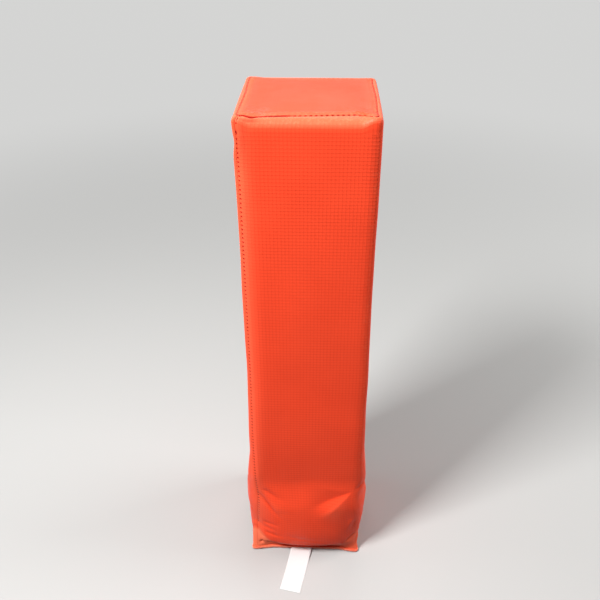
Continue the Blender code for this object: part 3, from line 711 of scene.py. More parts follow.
class Nodes:
    """A material's node tree, with short ways to add to it."""

    def __init__(self, name, roughness, **settings):
        """A new material. Its shader gets the roughness and the settings, by their titles."""
        self.material = bpy.data.materials.new(name)
        self.material.use_nodes = True
        self.tree = self.material.node_tree
        self.shader = self.tree.nodes["Principled BSDF"]
        for title, value in {"Roughness": roughness, **settings}.items():
            self.shader.inputs[title].default_value = value

    def add(self, kind, *inputs, **settings):
        """A node whose inputs are numbers or other nodes' outputs, in order. None skips one."""
        node = self.tree.nodes.new("ShaderNode" + kind)
        for key, value in settings.items():
            setattr(node, key, value)
        for socket, value in zip(node.inputs, inputs):
            self.give(socket, value)
        return node

    def give(self, socket, value):
        """Links an output to a socket, or sets the socket to a number or colour. None skips it."""
        if isinstance(value, bpy.types.NodeSocket):
            self.tree.links.new(value, socket)
        elif value is not None:
            socket.default_value = value

    def math(self, operation, first, second=None):
        """What that Math operation makes of one or two values."""
        return self.add("Math", first, second, operation=operation).outputs[0]

    def sum(self, first, second):
        """Two values added."""
        return self.math("ADD", first, second)

    def times(self, first, second):
        """Two values multiplied."""
        return self.math("MULTIPLY", first, second)

    def between(self, value, low, high, to_low=0.0, to_high=1.0):
        """A smooth step of a value between two limits."""
        step = self.add("MapRange", value, low, high, to_low, to_high, interpolation_type="SMOOTHSTEP")
        return step.outputs[0]

    def noise(self, scale, detail=2.0, roughness=0.5, stretch=(1, 1, 1)):
        """Noise on Object coordinates, in lumps of about 1 over the scale, in metres."""
        place = self.add("TexCoord").outputs["Object"]
        turned = self.add("Mapping", place)
        turned.inputs["Scale"].default_value = stretch
        return self.add("TexNoise", turned.outputs[0], None, scale, detail, roughness).outputs["Fac"]

    def uv(self, title):
        """The two values of a UV map."""
        parts = self.add("SeparateXYZ", self.add("UVMap", uv_map=title).outputs[0])
        return parts.outputs[0], parts.outputs[1]

    def tint(self, share, first, second):
        """A mix of two colours by a share that varies over the surface."""
        node = self.add("Mix", data_type="RGBA")
        sockets = [s for s in node.inputs if s.enabled]
        for socket, value in zip(sockets, (share, first, second)):
            self.give(socket, value if not isinstance(value, tuple) else (*value, 1.0))
        return next(s for s in node.outputs if s.enabled)

    def relief(self, height, depth, below=None):
        """A bump of that depth in metres, over another one if given."""
        node = self.add("Bump", 1.0, depth)
        self.give(node.inputs["Height"], height)
        if below is not None:
            self.give(node.inputs["Normal"], below)
        return node.outputs[0]

    def finished(self, colour, bump, roughness=None):
        """The material, once its shader has this colour and bump, and a roughness that varies."""
        for title, value in (("Base Color", colour), ("Normal", bump), ("Roughness", roughness)):
            self.give(self.shader.inputs[title], value)
        return self.material


ORANGE = (0.970, 0.076, 0.027)
ORANGE_DEEP = (0.620, 0.028, 0.008)
ORANGE_PALE = (0.970, 0.220, 0.110)
HOLE_SHADE = (0.320, 0.013, 0.006)
YARN_PITCH = 0.0028

# Each seam's UV map, how dark the painted shade along its ditch is where it is tight and loose, and the
# radius of the painted shade in its holes.
UPRIGHT_HOLES = ("upright_stitches", 0.0, 0.0, 0.00095)
TOP_HOLES = ("top_stitches", 1.0, 0.08, 0.00135)


def vinyl(name, yarn, seams=()):
    """Semi-gloss orange vinyl. A woven grid of yarn shows through by the cloth's own UV map, as dark lines
    each way at whole numbers of its pitch. The needle holes get painted shade, as dark spots by the seams'
    UV maps, which hold the distance from the ditch and the count of stitches, whole at a hole. A seam's
    ditch gets painted shade too where the seam is tight, up to its eighth stitch, and less where it is
    loose, from half way past its tenth. The vinyl is paler where a painted highlight is laid on, paler in
    worn patches, some of which stand for painted sheen, and deeper by painted shade in the folds and
    creases."""
    n = Nodes(name, 0.40, **{"IOR": 1.5, "Specular IOR Level": 0.09})
    deeper = tuple(mix(np.array(ORANGE), np.array(ORANGE_DEEP), 0.16).tolist())
    colour = n.tint(n.between(n.noise(16, 3), 0.3, 0.75), ORANGE, deeper)
    bump = n.relief(n.noise(2600, 2, 0.6), 0.00002)
    lines = []
    for value, strength in zip(n.uv("cloth"), (0.75, 1.0)):
        cell = n.sum(n.math("DIVIDE", value, YARN_PITCH), 0.5)
        off = n.math("ABSOLUTE", n.sum(n.math("FLOORED_MODULO", cell, 1.0), -0.5))
        lines.append(n.between(off, 0.26, 0.06, 0.0, strength))
    crossing = n.times(*lines)
    either = n.math("MAXIMUM", *lines)
    patchy = n.between(n.noise(38, 2), 0.25, 0.7, 0.6, 1.0)
    shade = n.times(n.sum(n.times(either, 0.19), n.times(crossing, 0.26)), patchy)
    colour = n.tint(n.times(shade, yarn), colour, ORANGE_DEEP)
    bump = n.relief(n.sum(either, crossing), 0.00005 * yarn, bump)
    titles = ("painted_shade", "painted_highlight", "wear_and_sheen")
    painted_shade, painted_highlight, wear_and_sheen = (n.add("Attribute", attribute_name=title).outputs["Fac"] for title in titles)
    # Painted shade: deeper orange in the folds and creases.
    colour = n.tint(n.times(painted_shade, 0.55), colour, ORANGE_DEEP)
    # Painted highlight: paler orange on the ears, the top roll, the dart ridges, beside the upright seam and
    # along the flange edge.
    colour = n.tint(n.times(painted_highlight, 0.60), colour, ORANGE_PALE)
    # Paler in worn patches; along the roll under the top seam these stand for a painted sheen.
    wear_and_sheen = n.times(wear_and_sheen, n.between(n.noise(420, 4, 0.7), 0.48, 0.66))
    colour = n.tint(n.times(wear_and_sheen, 0.5), colour, ORANGE_PALE)
    # Painted shade in each seam's needle holes and, where the seam is tight, along its ditch.
    for title, tight, loose, hole_radius in seams:
        across, count = n.uv(title)
        nearest = n.sum(n.math("FLOORED_MODULO", n.sum(count, 0.5), 1.0), -0.5)
        away = n.times(nearest, STITCH)
        far = n.math("SQRT", n.sum(n.times(away, away), n.times(across, across)))
        hole = n.between(far, hole_radius, hole_radius / 2)
        shut = n.between(count, 10.5, 8.0, loose, tight)
        closed = n.times(n.between(across, 0.0017, 0.0007), shut)
        colour = n.tint(n.math("MAXIMUM", hole, closed), colour, HOLE_SHADE)
    roughness = n.sum(n.between(n.noise(60, 3), 0.3, 0.7, 0.35, 0.45), n.times(wear_and_sheen, 0.15))
    return n.finished(colour, bump, roughness)


def cut_edge(name):
    """The cut edge of the vinyl: pale yarn ends between two orange films."""
    n = Nodes(name, 0.62)
    fibres = n.noise(3200, 3, 0.7)
    colour = n.tint(n.between(fibres, 0.35, 0.65), (0.84, 0.16, 0.09), (0.90, 0.42, 0.32))
    return n.finished(colour, n.relief(fibres, 0.00006))


wall_vinyl = vinyl("wall_vinyl", 1.0, (UPRIGHT_HOLES, TOP_HOLES))
vinyl_cut_edge = cut_edge("vinyl_cut_edge")

turns, foot_rows, plain_rows = wall_turns()
columns = wall_columns(3 * FRONT_STITCHES, 2 * SIDE_STITCHES, 8)
surface, painted_shade, ridged = sewn_walls(turns, columns)
leading = seam_folds(surface, turns, leading_fold(5, ALLOWANCE))[:, ::-1]
following = seam_folds(surface, turns, following_fold(3, ALLOWANCE))
walls = np.concatenate([leading, surface, following], axis=1)
added = (leading.shape[1], following.shape[1])

in_corner = columns.angle > 0
step = np.arange(len(columns.part))
by_seam = (columns.part == FRONT) & (columns.share < 0.09) | (columns.part == FRONT_END)
part_ends = np.append(np.diff(columns.part) != 0, True) | np.insert(np.diff(columns.part) != 0, 0, True)
on_fourth = (columns.part == FRONT) & (np.round(columns.share * 3 * FRONT_STITCHES) % 4 == 0)
on_fifth = (columns.part != FRONT) & ~in_corner & (np.round(columns.share * 2 * SIDE_STITCHES) % 5 == 0)
kept = by_seam | part_ends | on_fourth | on_fifth | in_corner & (step % 2 == 0)
kept = np.pad(kept, added, constant_values=True)
plain_end = foot_rows + plain_rows - 1
zones = ((0, foot_rows, False), (foot_rows, plain_end, True), (plain_end, len(turns.z) - 1, False))
faces = zoned_faces(len(turns.z), walls.shape[1], kept, zones)

reference = slumped(ring_grid(wall_turns_at(np.array([0.25])), columns, FOLD_HALF))[0]
cloth_map = grid_map(np.pad(run_along(reference), added, mode="edge"), run_over(turns)[:, None])

from_seam = np.minimum(np.abs(walls[..., 0] - seam_x(turns)[:, None]), FAR_FROM_SEAM)
from_seam = np.where(walls[..., 1] < -0.03, from_seam, FAR_FROM_SEAM)
from_seam[:, : added[0]] = 0
from_seam[:, -added[1] :] = 0
beside_seam = hump(from_seam, 0.0, 0.0070) * (from_seam < FAR_FROM_SEAM)
height = np.broadcast_to(turns.z[:, None], from_seam.shape)
from_seam = np.where((height > STITCHED_FROM) & (height < STITCHED_TO), from_seam, FAR_FROM_SEAM)
upright_map = np.stack([from_seam, height / STITCH], axis=-1)
count = np.pad(stitch_count(columns), added, mode="edge")
from_ditch = np.minimum(FAR_FROM_SEAM, np.abs(turns.out + TOP_SEAM_INSET))
from_ditch = np.where(turns.wander > 0, from_ditch, FAR_FROM_SEAM)
top_map = grid_map(from_ditch[:, None], count)
# Worn patches at the foot and at the corners, and along the roll under the top seam a painted sheen in the
# same way.
on_ends = ease((0.012 - turns.z) / 0.010)[:, None] + ease((turns.z - 0.450) / 0.006)[:, None]
on_corners = np.pad(0.3 * (in_corner | part_ends), added)
wear_and_sheen = np.clip(on_ends + on_corners, 0, 1)
# Painted highlight on the ears at the foot, where they face the lamps, strongest on the front left one.
from_middle = np.minimum(np.abs(walls[..., 0]), np.abs(walls[..., 1]))
on_ears = ease(((from_middle - 0.0345) * 1.08 + 0.0165 - walls[..., 2]) / 0.007)
on_ears *= np.where((walls[..., 0] < 0) & (walls[..., 1] < -0.045), 1.2, 0.6)
# Painted highlight along the roll under the top seam, joined to the ears' painted highlight.
painted_highlight = np.maximum(on_ears, 0.72 * ease((turns.z - HEIGHT + 0.0075) / 0.0045)[:, None])
# Painted light in the upright seam's ditch low down, which lightens the ditch's shade.
in_ditch = 0.7 * hump(from_seam, 0.0, 0.0007) * ease((0.12 - height) / 0.04)
# Painted highlight on the darts' ridges.
painted_highlight = np.maximum(painted_highlight, 0.2 * np.pad(ridged, ((0, 0), added)))
# Painted sheen beside the upright seam, together with the painted light in its ditch.
painted_highlight = np.maximum(painted_highlight, np.maximum(0.32 * beside_seam, in_ditch))
# Painted highlight along the outer edge of the flange.
painted_highlight[0] = 1.6
# Painted shade in the crease where each wall's foot meets the flange, away from the corners, added to the
# painted shade in the folds.
foot_crease_shade = 1.5 * hump(walls[..., 2], 0.0052, 0.0018) * ease((0.044 - from_middle) / 0.008)
painted_shade = np.maximum(np.pad(painted_shade, ((0, 0), added)), foot_crease_shade)

side_walls = new_piece(
    "side_walls", walls, faces, [wall_vinyl, vinyl_cut_edge],
    {"cloth": cloth_map, "upright_stitches": upright_map, "top_stitches": top_map},
    {"wear_and_sheen": wear_and_sheen, "painted_highlight": painted_highlight, "painted_shade": painted_shade},
)
thickened(side_walls, VINYL, 1)
in_place_of(side_walls, "side_panel")


# The top panel: a square of the same vinyl, its edge folded back under itself all round. The foam
# crowns it a little, and its corners stand up as small ears where the two layers are pinched.
TOP_CROWN = 0.0012


def top_turns():
    """Turns of the top panel from the edge folded under it, round the fold and in to the middle:
    each keeps its share of the way from the seam to the middle, while the ears ease out."""
    across, depth = leading_fold(6, ALLOWANCE)
    folded = top_seam_turns(across[::-1], depth[::-1])
    past = np.concatenate([np.linspace(0, 0.26, 10), np.linspace(0.34, 0.94, 8)])
    insets = np.array([TOP_SEAM_INSET, SIDE_SEAM_INSET, CORNER_SEAM_INSET]) + FOLD_HALF
    outs = [-mix(inset, HALF, past) for inset in insets]
    settled = 1 - ease(past / 0.45)
    z = HEIGHT - SEAM_DROP * (1 - ease(past / 0.12))
    open_top = top_edge_turns(*outs, z, z, z, settled, 0.0, settled, TOP_EAR_SPAN * (1 - past) + 0.002)
    least = 0.3 * (HALF + open_top.corner_out)
    open_top = open_top._replace(
        radius=np.minimum(open_top.radius, least), seam_radius=np.minimum(open_top.seam_radius, least))
    return stacked(folded, open_top)


def closed_faces(rows, width, middle, start=None):
    """Quads between closed rings, a fan from the last ring to the middle point and, where the
    first ring is closed too, one from it to the start point."""
    ring = np.arange(width)
    after = np.roll(ring, -1)
    low = np.arange(rows - 1)[:, None] * width
    quads = np.stack([low + ring, low + after, low + width + after, low + width + ring], axis=-1)
    last = (rows - 1) * width
    faces = quads.reshape(-1, 4).tolist()
    faces += np.stack([last + ring, last + after, np.full(width, middle)], axis=-1).tolist()
    if start is not None:
        faces += np.stack([after, ring, np.full(width, start)], axis=-1).tolist()
    return faces


def closed_columns(front_steps, side_steps, corner_steps):
    """The walls' columns without the last, which on a closed ring is the first one again."""
    return Columns(*(values[:-1] for values in wall_columns(front_steps, side_steps, corner_steps)))


top_vinyl = vinyl("top_vinyl", 0.12, (TOP_HOLES,))
turns = top_turns()
columns = closed_columns(3 * FRONT_STITCHES, 2 * SIDE_STITCHES, 8)
plain = ring_grid(turns, columns, 0.0)
normal = normals_of(plain)
inward = -(turns.out + TOP_SEAM_INSET + FOLD_HALF)[:, None]
on_top = (np.arange(len(turns.z)) > 5)[:, None]
pinch = np.cos(2 * np.pi * stitch_count(columns)) * hump(inward, 0.0, 0.0014)
puff = 0.00045 * hump(inward, 0.0034, 0.0026)
x, y, z = np.moveaxis(plain, -1, 0)
slow_swell = 0.0003 * np.sin(x * 71 + 1.3 * np.sin(y * 55)) * np.cos(y * 63 + 0.5) * ease(inward / 0.012)
crumple = 0.0007 * hump(x, -0.041, 0.008) * hump(y, -0.034, 0.007)
crumple -= 0.0005 * hump(x, -0.031, 0.005) * hump(y, -0.039, 0.005)
plain = plain + normal * (on_top * (puff - 0.00010 * pinch + slow_swell + crumple))[..., None]
crown = (1 - np.minimum(1, x / 0.045) ** 2) * (1 - np.minimum(1, y / 0.045) ** 2)
plain[..., 2] += TOP_CROWN * np.maximum(0, crown) * on_top
middle = np.array([[0, 0, HEIGHT + TOP_CROWN + 0.0001]])
points = np.concatenate([plain.reshape(-1, 3), middle])
faces = closed_faces(len(turns.z), len(columns.part), len(points) - 1)
from_ditch = np.minimum(FAR_FROM_SEAM, np.where(on_top[:, 0], np.abs(turns.out + TOP_SEAM_INSET), 0.0))
top_map = grid_map(from_ditch[:, None], stitch_count(columns)).reshape(-1, 2)
top_map = np.concatenate([top_map, [(FAR_FROM_SEAM, 0.5)]])
# Paler along the top seam's edge: painted sheen with some wear, and a painted highlight.
wear_and_sheen = np.append(np.broadcast_to(0.8 * hump(inward, 0.0, 0.004), plain.shape[:2]).ravel(), 0)
painted_highlight = np.append(np.broadcast_to(0.5 * hump(inward, 0.0, 0.0035), plain.shape[:2]).ravel(), 0)
top_panel = new_piece(
    "cover_top", points, faces, [top_vinyl, vinyl_cut_edge],
    {"cloth": points[:, :2], "top_stitches": top_map}, {"wear_and_sheen": wear_and_sheen, "painted_highlight": painted_highlight},
)
thickened(top_panel, VINYL, 1)
in_place_of(top_panel, "top_panel")


# The base panel: the square of vinyl that the pylon stands on, flat on the ground and stepped up
# at its rim, where it is sewn flat to the foot of the walls with their cut edges together.
BASE_FOOT_INSET = 0.0040
BASE_FOOT_SLOPE = 0.0016
FLANGE_LIFT = 0.0012

base_vinyl = vinyl("base_vinyl", 1.0)
slope_end = BASE_FOOT_INSET - BASE_FOOT_SLOPE
inset = np.array([0.040, 0.030, 0.020, 0.010, BASE_FOOT_INSET, 0.0032, slope_end, 0.001])
lift = FLANGE_LIFT * ease((BASE_FOOT_INSET - inset) / BASE_FOOT_SLOPE)
flat_radius = np.minimum(CORNER_RADIUS, 0.4 * (HALF - inset))
flat_turns = turns_of(-inset, lift, -inset, lift, flat_radius, FLANGE_SEAM_RADIUS)
rim = turns_of(
    FLANGE_REACH, FLANGE_LIFT, FLANGE_CORNER_REACH, FLANGE_LIFT, EAR_RADIUS, FLANGE_SEAM_RADIUS
)
turns = in_reverse(stacked(flat_turns, rim))
columns = closed_columns(50, 34, 6)
points = np.concatenate([ring_grid(turns, columns, 0.0).reshape(-1, 3), [(0, 0, 0)]])
faces = closed_faces(len(turns.z), len(columns.part), len(points) - 1)
base_panel = new_piece(
    "cover_base", points, [face[::-1] for face in faces], [base_vinyl, vinyl_cut_edge],
    {"cloth": points[:, :2]}, {"wear_and_sheen": np.full(len(points), 0.7)},
)
thickened(base_panel, VINYL, 1)
in_place_of(base_panel, "base_panel")


# The stitching: polyester thread in lockstitch, let down into the ditch between two folded edges
# or along the flange, where each needle thread shows as a short arch from one hole to the next.
THREAD_RADIUS = 0.00022
THREAD_SIDES, THREAD_RINGS = 6, 5
BASE_STITCH_INSET = 0.0011
BASE_STITCH_CORNER_INSET = 0.0008


def thread_material(name):
    """Polyester thread: two plies round each other, as fine slanting lines, and a little sheen."""
    n = Nodes(name, 0.55, **{"Sheen Weight": 0.1})
    place = n.add("TexCoord").outputs["Object"]
    plies = n.add("TexWave", place, 900.0, 1.5, bands_direction="DIAGONAL").outputs["Fac"]
    colour = n.tint(n.between(plies, 0.2, 0.8), (0.84, 0.050, 0.014), (0.96, 0.085, 0.024))
    return n.finished(colour, n.relief(plies, 0.00004))


seam_thread = thread_material("seam_thread")


def arched_stitches(places, ways, outs, length, rise):
    """Points and faces of short lengths of thread, one at each place: a many-sided tube whose
    line rises in the middle by the rise times 1 less the square of its share, and whose radius
    shrinks a little to its ends in the same way."""
    share = np.linspace(-1, 1, THREAD_RINGS)
    angle = 2 * np.pi * np.arange(THREAD_SIDES) / THREAD_SIDES
    sides = np.cross(ways, outs)
    arch = rise * (1 - share**2)
    line = places[:, None] + ways[:, None] * (share * length / 2)[:, None] + outs[:, None] * arch[:, None]
    radius = (THREAD_RADIUS * (1 - 0.3 * share**2))[:, None]
    spoke = sides[:, None, None] * (np.cos(angle) * radius)[..., None]
    spoke = spoke + outs[:, None, None] * (np.sin(angle) * radius)[..., None]
    points = line[:, :, None] + spoke
    around = np.arange(THREAD_SIDES)
    after = np.roll(around, -1)
    start = np.arange(len(places))[:, None] * THREAD_RINGS * THREAD_SIDES
    low = start[..., None] + np.arange(THREAD_RINGS - 1)[:, None] * THREAD_SIDES
    high = low + THREAD_SIDES
    quads = np.stack([low + around, low + after, high + after, high + around], axis=-1).reshape(-1, 4)
    end = start + (THREAD_RINGS - 1) * THREAD_SIDES
    caps = (start + around[::-1]).tolist() + (end + around).tolist()
    return points.reshape(-1, 3), quads.tolist() + caps


def row_of_stitches(name, line, outs, spacing, rise, closed, node):
    """Stitches spread evenly along a line of points: each lies along the line's own direction,
    with its middle half way between two holes."""
    if closed:
        line, outs = np.vstack([line, line[:1]]), np.vstack([outs, outs[:1]])
    run = run_along(line)
    count = int(round(run[-1] / spacing))
    middles = (np.arange(count) + 0.5) * run[-1] / count
    holes = np.arange(count + 1) * run[-1] / count
    places, ends, out = (
        np.stack([np.interp(stops, run, values[:, axis]) for axis in range(3)], axis=-1)
        for stops, values in ((middles, line), (holes, line), (middles, outs))
    )
    ways = unit(np.diff(ends, axis=0))
    out = unit(out)
    out = unit(out - ways * np.sum(out * ways, axis=-1, keepdims=True))
    points, faces = arched_stitches(places, ways, out, 0.72 * run[-1] / count, rise)
    in_place_of(new_piece(name, points, faces, [seam_thread]), node)


turns = wall_turns()[0]
along_seam = (turns.z > STITCHED_FROM) & (turns.z < STITCHED_TO) & (turns.out > -0.006)
edges = (surface[:, 0] + surface[:, -1])[along_seam] / 2
outwards = unit(np.cross(np.array([1.0, 0, 0]), np.gradient(edges, axis=0)))
for title, depth, rise, node in (
    ("upright_needle_thread", 0.0003, 0.00022, "vertical_seam_needle_thread"),
    ("upright_bobbin_thread", 0.0031, 0.0001, "vertical_seam_bobbin_thread"),
):
    row_of_stitches(title, edges - outwards * depth, outwards, STITCH, rise, False, node)

around = closed_columns(3 * FRONT_STITCHES, 2 * SIDE_STITCHES, 8)
for title, depth, node in (
    ("top_needle_thread", 0.00035, "top_seam_needle_thread"),
    ("top_bobbin_thread", 0.0031, "top_seam_bobbin_thread"),
):
    line = ring_grid(top_seam_turns(np.zeros(1), np.array([depth])), around, 0.0)[0]
    upwards = np.broadcast_to((0.0, 0.0, 1.0), line.shape)
    row_of_stitches(title, line, upwards, STITCH, 0.0002, True, node)

for title, height, up, node in (
    ("base_needle_thread", FLANGE_TOP + 0.0002, 1.0, "base_seam_needle_thread"),
    ("base_bobbin_thread", FLANGE_LIFT - 0.0002, -1.0, "base_seam_bobbin_thread"),
):
    level = turns_of(
        FLANGE_REACH - BASE_STITCH_INSET, height, FLANGE_CORNER_REACH - BASE_STITCH_CORNER_INSET, height,
        EAR_RADIUS, FLANGE_SEAM_RADIUS
    )
    line = ring_grid(level, around, 0.0)[0]
    upwards = np.broadcast_to((0.0, 0.0, up), line.shape)
    row_of_stitches(title, line, upwards, STITCH, 0.0001, True, node)


# The block that fills the cover above the sand: cut foam with rounded upright edges, its top edge
# pressed in by the seam, and a channel near the front left corner for the upright seam's folds.
FOAM_SIDE = 0.0014
FOAM_CORNER = 0.0070
FOAM_FOOT = 0.1052
FOAM_CHAMFER = 0.0070
FOAM_PRESSED = 0.0042
FOAM_TOP_GAP = 0.0012
FOAM_STEP = 0.0006
CHANNEL_WIDTH = 0.0125
CHANNEL_DEPTH = 0.0075


def foam_material(name):
    """Cut open-cell foam: small round cells as pits, with slightly browner lumps between them."""
    n = Nodes(name, 0.95)
    place = n.add("TexCoord").outputs["Object"]
    cells = n.add("TexVoronoi", place, None, 700.0).outputs["Distance"]
    slow = n.noise(45, 3)
    colour = n.tint(n.between(cells, 0.1, 0.6), (0.50, 0.45, 0.34), (0.80, 0.76, 0.62))
    colour = n.tint(n.between(slow, 0.35, 0.7, 0.0, 0.4), colour, (0.70, 0.62, 0.44))
    return n.finished(colour, n.relief(cells, 0.0006))


def solid_turns(out, z, radius):
    """Turns with the same reach and height at the walls and the corners."""
    return turns_of(out, z, out, z, radius, radius)


columns = closed_columns(40, 40, 6)
pressed = HEIGHT - FOAM_PRESSED
turn = np.linspace(0, np.pi / 2, 6)
edge_out = -FOAM_SIDE - FOAM_CHAMFER * (1 - np.cos(turn))
edge_z = pressed - FOAM_CHAMFER * (1 - np.sin(turn))
edge_radius = np.linspace(FOAM_CORNER, 0.002, 6)
seam_end = -(TOP_SEAM_INSET + FOLD_HALF + ALLOWANCE + FOAM_STEP)
foot = np.array([0.040, 0.020, 0.008, 0.004])
body_z = np.linspace(FOAM_FOOT + 0.002, pressed - FOAM_CHAMFER - 0.002, 60)
turns = stacked(
    solid_turns(-foot, FOAM_FOOT, np.minimum(FOAM_CORNER, 0.4 * (HALF - foot))),
    solid_turns(-FOAM_SIDE, body_z, FOAM_CORNER),
    solid_turns(edge_out, edge_z, edge_radius),
    solid_turns(seam_end, pressed, 0.002),
    solid_turns(seam_end - FOAM_STEP, HEIGHT - 0.0016, 0.002),
    solid_turns(-np.array([0.028, 0.040]), HEIGHT - FOAM_TOP_GAP, 0.002),
)
points = ring_grid(turns, columns, 0.0)
in_channel = ease((CHANNEL_WIDTH - HALF - points[..., 0]) / 0.0015)
cut_back = np.maximum(points[..., 1], -HALF + CHANNEL_DEPTH)
points[..., 1] = mix(points[..., 1], cut_back, in_channel)
rows, width = points.shape[:2]
points = np.concatenate([points.reshape(-1, 3), [(0, 0, HEIGHT - FOAM_TOP_GAP), (0, 0, FOAM_FOOT)]])
faces = closed_faces(rows, width, rows * width, rows * width + 1)
foam_block = new_piece("foam_block", points, faces, [foam_material("cut_foam")])
in_place_of(foam_block, "foam_core")


# The bag of sand: a tub of plain cotton cloth with its rim turned in, and a lid sewn to the rim. It
# lies loose in the foot of the cover and takes the same tucks as the wall in front of it.
BAG_CLOTH = 0.0006
BAG_TOP = 0.1040
BAG_CLEARANCE = 0.0024
BAG_CORNER_RADIUS = 0.0300
BAG_FOOT_RADIUS = 0.0120
BAG_RIM = 0.0080
BAG_STITCH_INSET = 0.0040
BAG_STITCH = 0.0040
LAYER_GAP = 0.0003
BAG_BOTTOM = VINYL + LAYER_GAP
WEAVE_PITCH = 0.0009


def cloth_material(name):
    """Undyed cotton: a plain weave by crossed waves on the cloth's own map, with darker slubs."""
    n = Nodes(name, 0.85, **{"Sheen Weight": 0.2, "Sheen Roughness": 0.6})
    u, v = n.uv("cloth")
    warp, weft = (n.math("SINE", n.times(value, 2 * np.pi / WEAVE_PITCH)) for value in (u, v))
    weave = n.times(warp, weft)
    slub = n.noise(160, 3, 0.6, (1, 1, 0.2))
    colour = n.tint(n.between(weave, -0.6, 0.8), (0.44, 0.41, 0.35), (0.62, 0.59, 0.52))
    colour = n.tint(n.between(slub, 0.55, 0.75, 0.0, 0.5), colour, (0.36, 0.32, 0.26))
    return n.finished(colour, n.relief(weave, 0.00008))


def bag_turns(inset, bottom, top):
    """The bag's outline between two heights, drawn in by an inset: a quarter circle at its foot,
    then a little inside the cover's wall."""
    clearance = VINYL + BAG_CLEARANCE + inset
    foot, corner = BAG_FOOT_RADIUS - inset, BAG_CORNER_RADIUS - inset
    start = bottom + foot
    turn = np.pi / 2 * np.linspace(0, 1, 9)
    inward = foot * (1 - np.sin(turn))
    level = wall_out(start) - clearance
    round_foot = solid_turns(level - inward, start - foot * np.cos(turn), corner - inward)
    z = np.linspace(start, top, 44)[1:]
    return stacked(round_foot, solid_turns(wall_out(z) - clearance, z, corner))


def bag_floor(z):
    """The turns of a flat floor at that height, from near its middle out to the round foot."""
    return solid_turns(-np.array([0.040, 0.030, 0.022]), z, np.array([0.004, 0.008, 0.008]))


def tucked_in(points, columns):
    """Moves a bag's points straight in where the cover's wall is tucked in, by the folds' depth."""
    part = np.broadcast_to(columns.part, points.shape[:2])
    x, y, z = np.moveaxis(points, -1, 0)
    depth = 1.25 * np.minimum(0, creased(part, along_wall(part, x, y), z)) * ease((z - 0.003) / 0.006)
    outwards = np.append(OUTWARDS[columns.part], np.zeros((len(columns.part), 1)), axis=1)
    return points + outwards * depth[..., None]


def disc_with_map(name, turns, columns, middle, materials, tucked=False):
    """A sheet from its first ring in to a middle point, with a cloth map of the distance run."""
    points = ring_grid(turns, columns, 0.0)
    if tucked:
        points = tucked_in(points, columns)
    points = slumped(points)
    inwards = run_over(turns)
    cloth = grid_map(run_along(points[0]), inwards[:, None]).reshape(-1, 2)
    rows, width = points.shape[:2]
    points = np.concatenate([points.reshape(-1, 3), [middle]])
    cloth = np.concatenate([cloth, [(0, inwards[-1])]])
    return new_piece(name, points, closed_faces(rows, width, rows * width), materials, {"cloth": cloth})


bag_cloth = cloth_material("bag_cotton")
columns = closed_columns(44, 44, 10)
rim_z = BAG_TOP - BAG_CLOTH - LAYER_GAP
outline = bag_turns(0.0, BAG_BOTTOM, rim_z)
turned = BAG_RIM * np.array([0.33, 0.66, 1.0])
turned_in = solid_turns(outline.out[-1] - turned, rim_z, BAG_CORNER_RADIUS - turned)
tub_turns = in_reverse(stacked(bag_floor(BAG_BOTTOM), outline, turned_in))
tub = disc_with_map("sand_bag_tub", tub_turns, columns, (0, 0, BAG_BOTTOM), [bag_cloth], True)
tub.data.flip_normals()
thickened(tub, BAG_CLOTH)
in_place_of(tub, "sand_bag_body")

lid_out = outline.out[-1] - LAYER_GAP - np.array([0, 0.004, 0.012, 0.024, 0.036])
lid_turns = solid_turns(lid_out, BAG_TOP, np.array([0.0297, 0.026, 0.020, 0.012, 0.004]))
lid = disc_with_map("sand_bag_cloth_lid", lid_turns, columns, (0, 0, BAG_TOP), [bag_cloth])
thickened(lid, BAG_CLOTH)
in_place_of(lid, "sand_bag_lid")

level = solid_turns(
    outline.out[-1] - BAG_STITCH_INSET, BAG_TOP + LAYER_GAP, BAG_CORNER_RADIUS - BAG_STITCH_INSET
)
line = slumped(ring_grid(level, columns, 0.0))[0]
upwards = np.broadcast_to((0.0, 0.0, 1.0), line.shape)
row_of_stitches("bag_lid_thread", line, upwards, BAG_STITCH, 0.0001, True, "sand_bag_thread")


# The sand: dry and fine, a mix of grey, tan and brown grains. It is poured into the bag up to its
# lid, and its weight is what holds the pylon down.
def sand_material(name):
    """Dry sand: grains as small cells, each with its own tone between grey, tan and brown."""
    n = Nodes(name, 0.9)
    place = n.add("TexCoord").outputs["Object"]
    grains = n.add("TexVoronoi", place, None, 1400.0)
    parts = n.add("SeparateColor", grains.outputs["Color"])
    tone = n.tint(parts.outputs[0], (0.40, 0.31, 0.20), (0.74, 0.64, 0.48))
    colour = n.tint(n.between(parts.outputs[1], 0.85, 0.95), tone, (0.22, 0.18, 0.14))
    return n.finished(colour, n.relief(grains.outputs["Distance"], 0.0004))


clear = BAG_CLOTH + LAYER_GAP
sides = bag_turns(clear, BAG_BOTTOM + clear, rim_z - clear)
surface_out = sides.out[-1] - np.array([0.012, 0.024, 0.036])
over = solid_turns(surface_out, rim_z - clear, np.array([0.018, 0.010, 0.004]))
fill_turns = stacked(bag_floor(BAG_BOTTOM + clear), sides, over)
points = slumped(tucked_in(ring_grid(fill_turns, columns, 0.0), columns))
rows, width = points.shape[:2]
points = np.concatenate([points.reshape(-1, 3), [(0, 0, rim_z - clear), (0, 0, BAG_BOTTOM + clear)]])
faces = closed_faces(rows, width, rows * width, rows * width + 1)
sand = new_piece("dry_sand", points, faces, [sand_material("dry_sand")])
in_place_of(sand, "sand_fill")


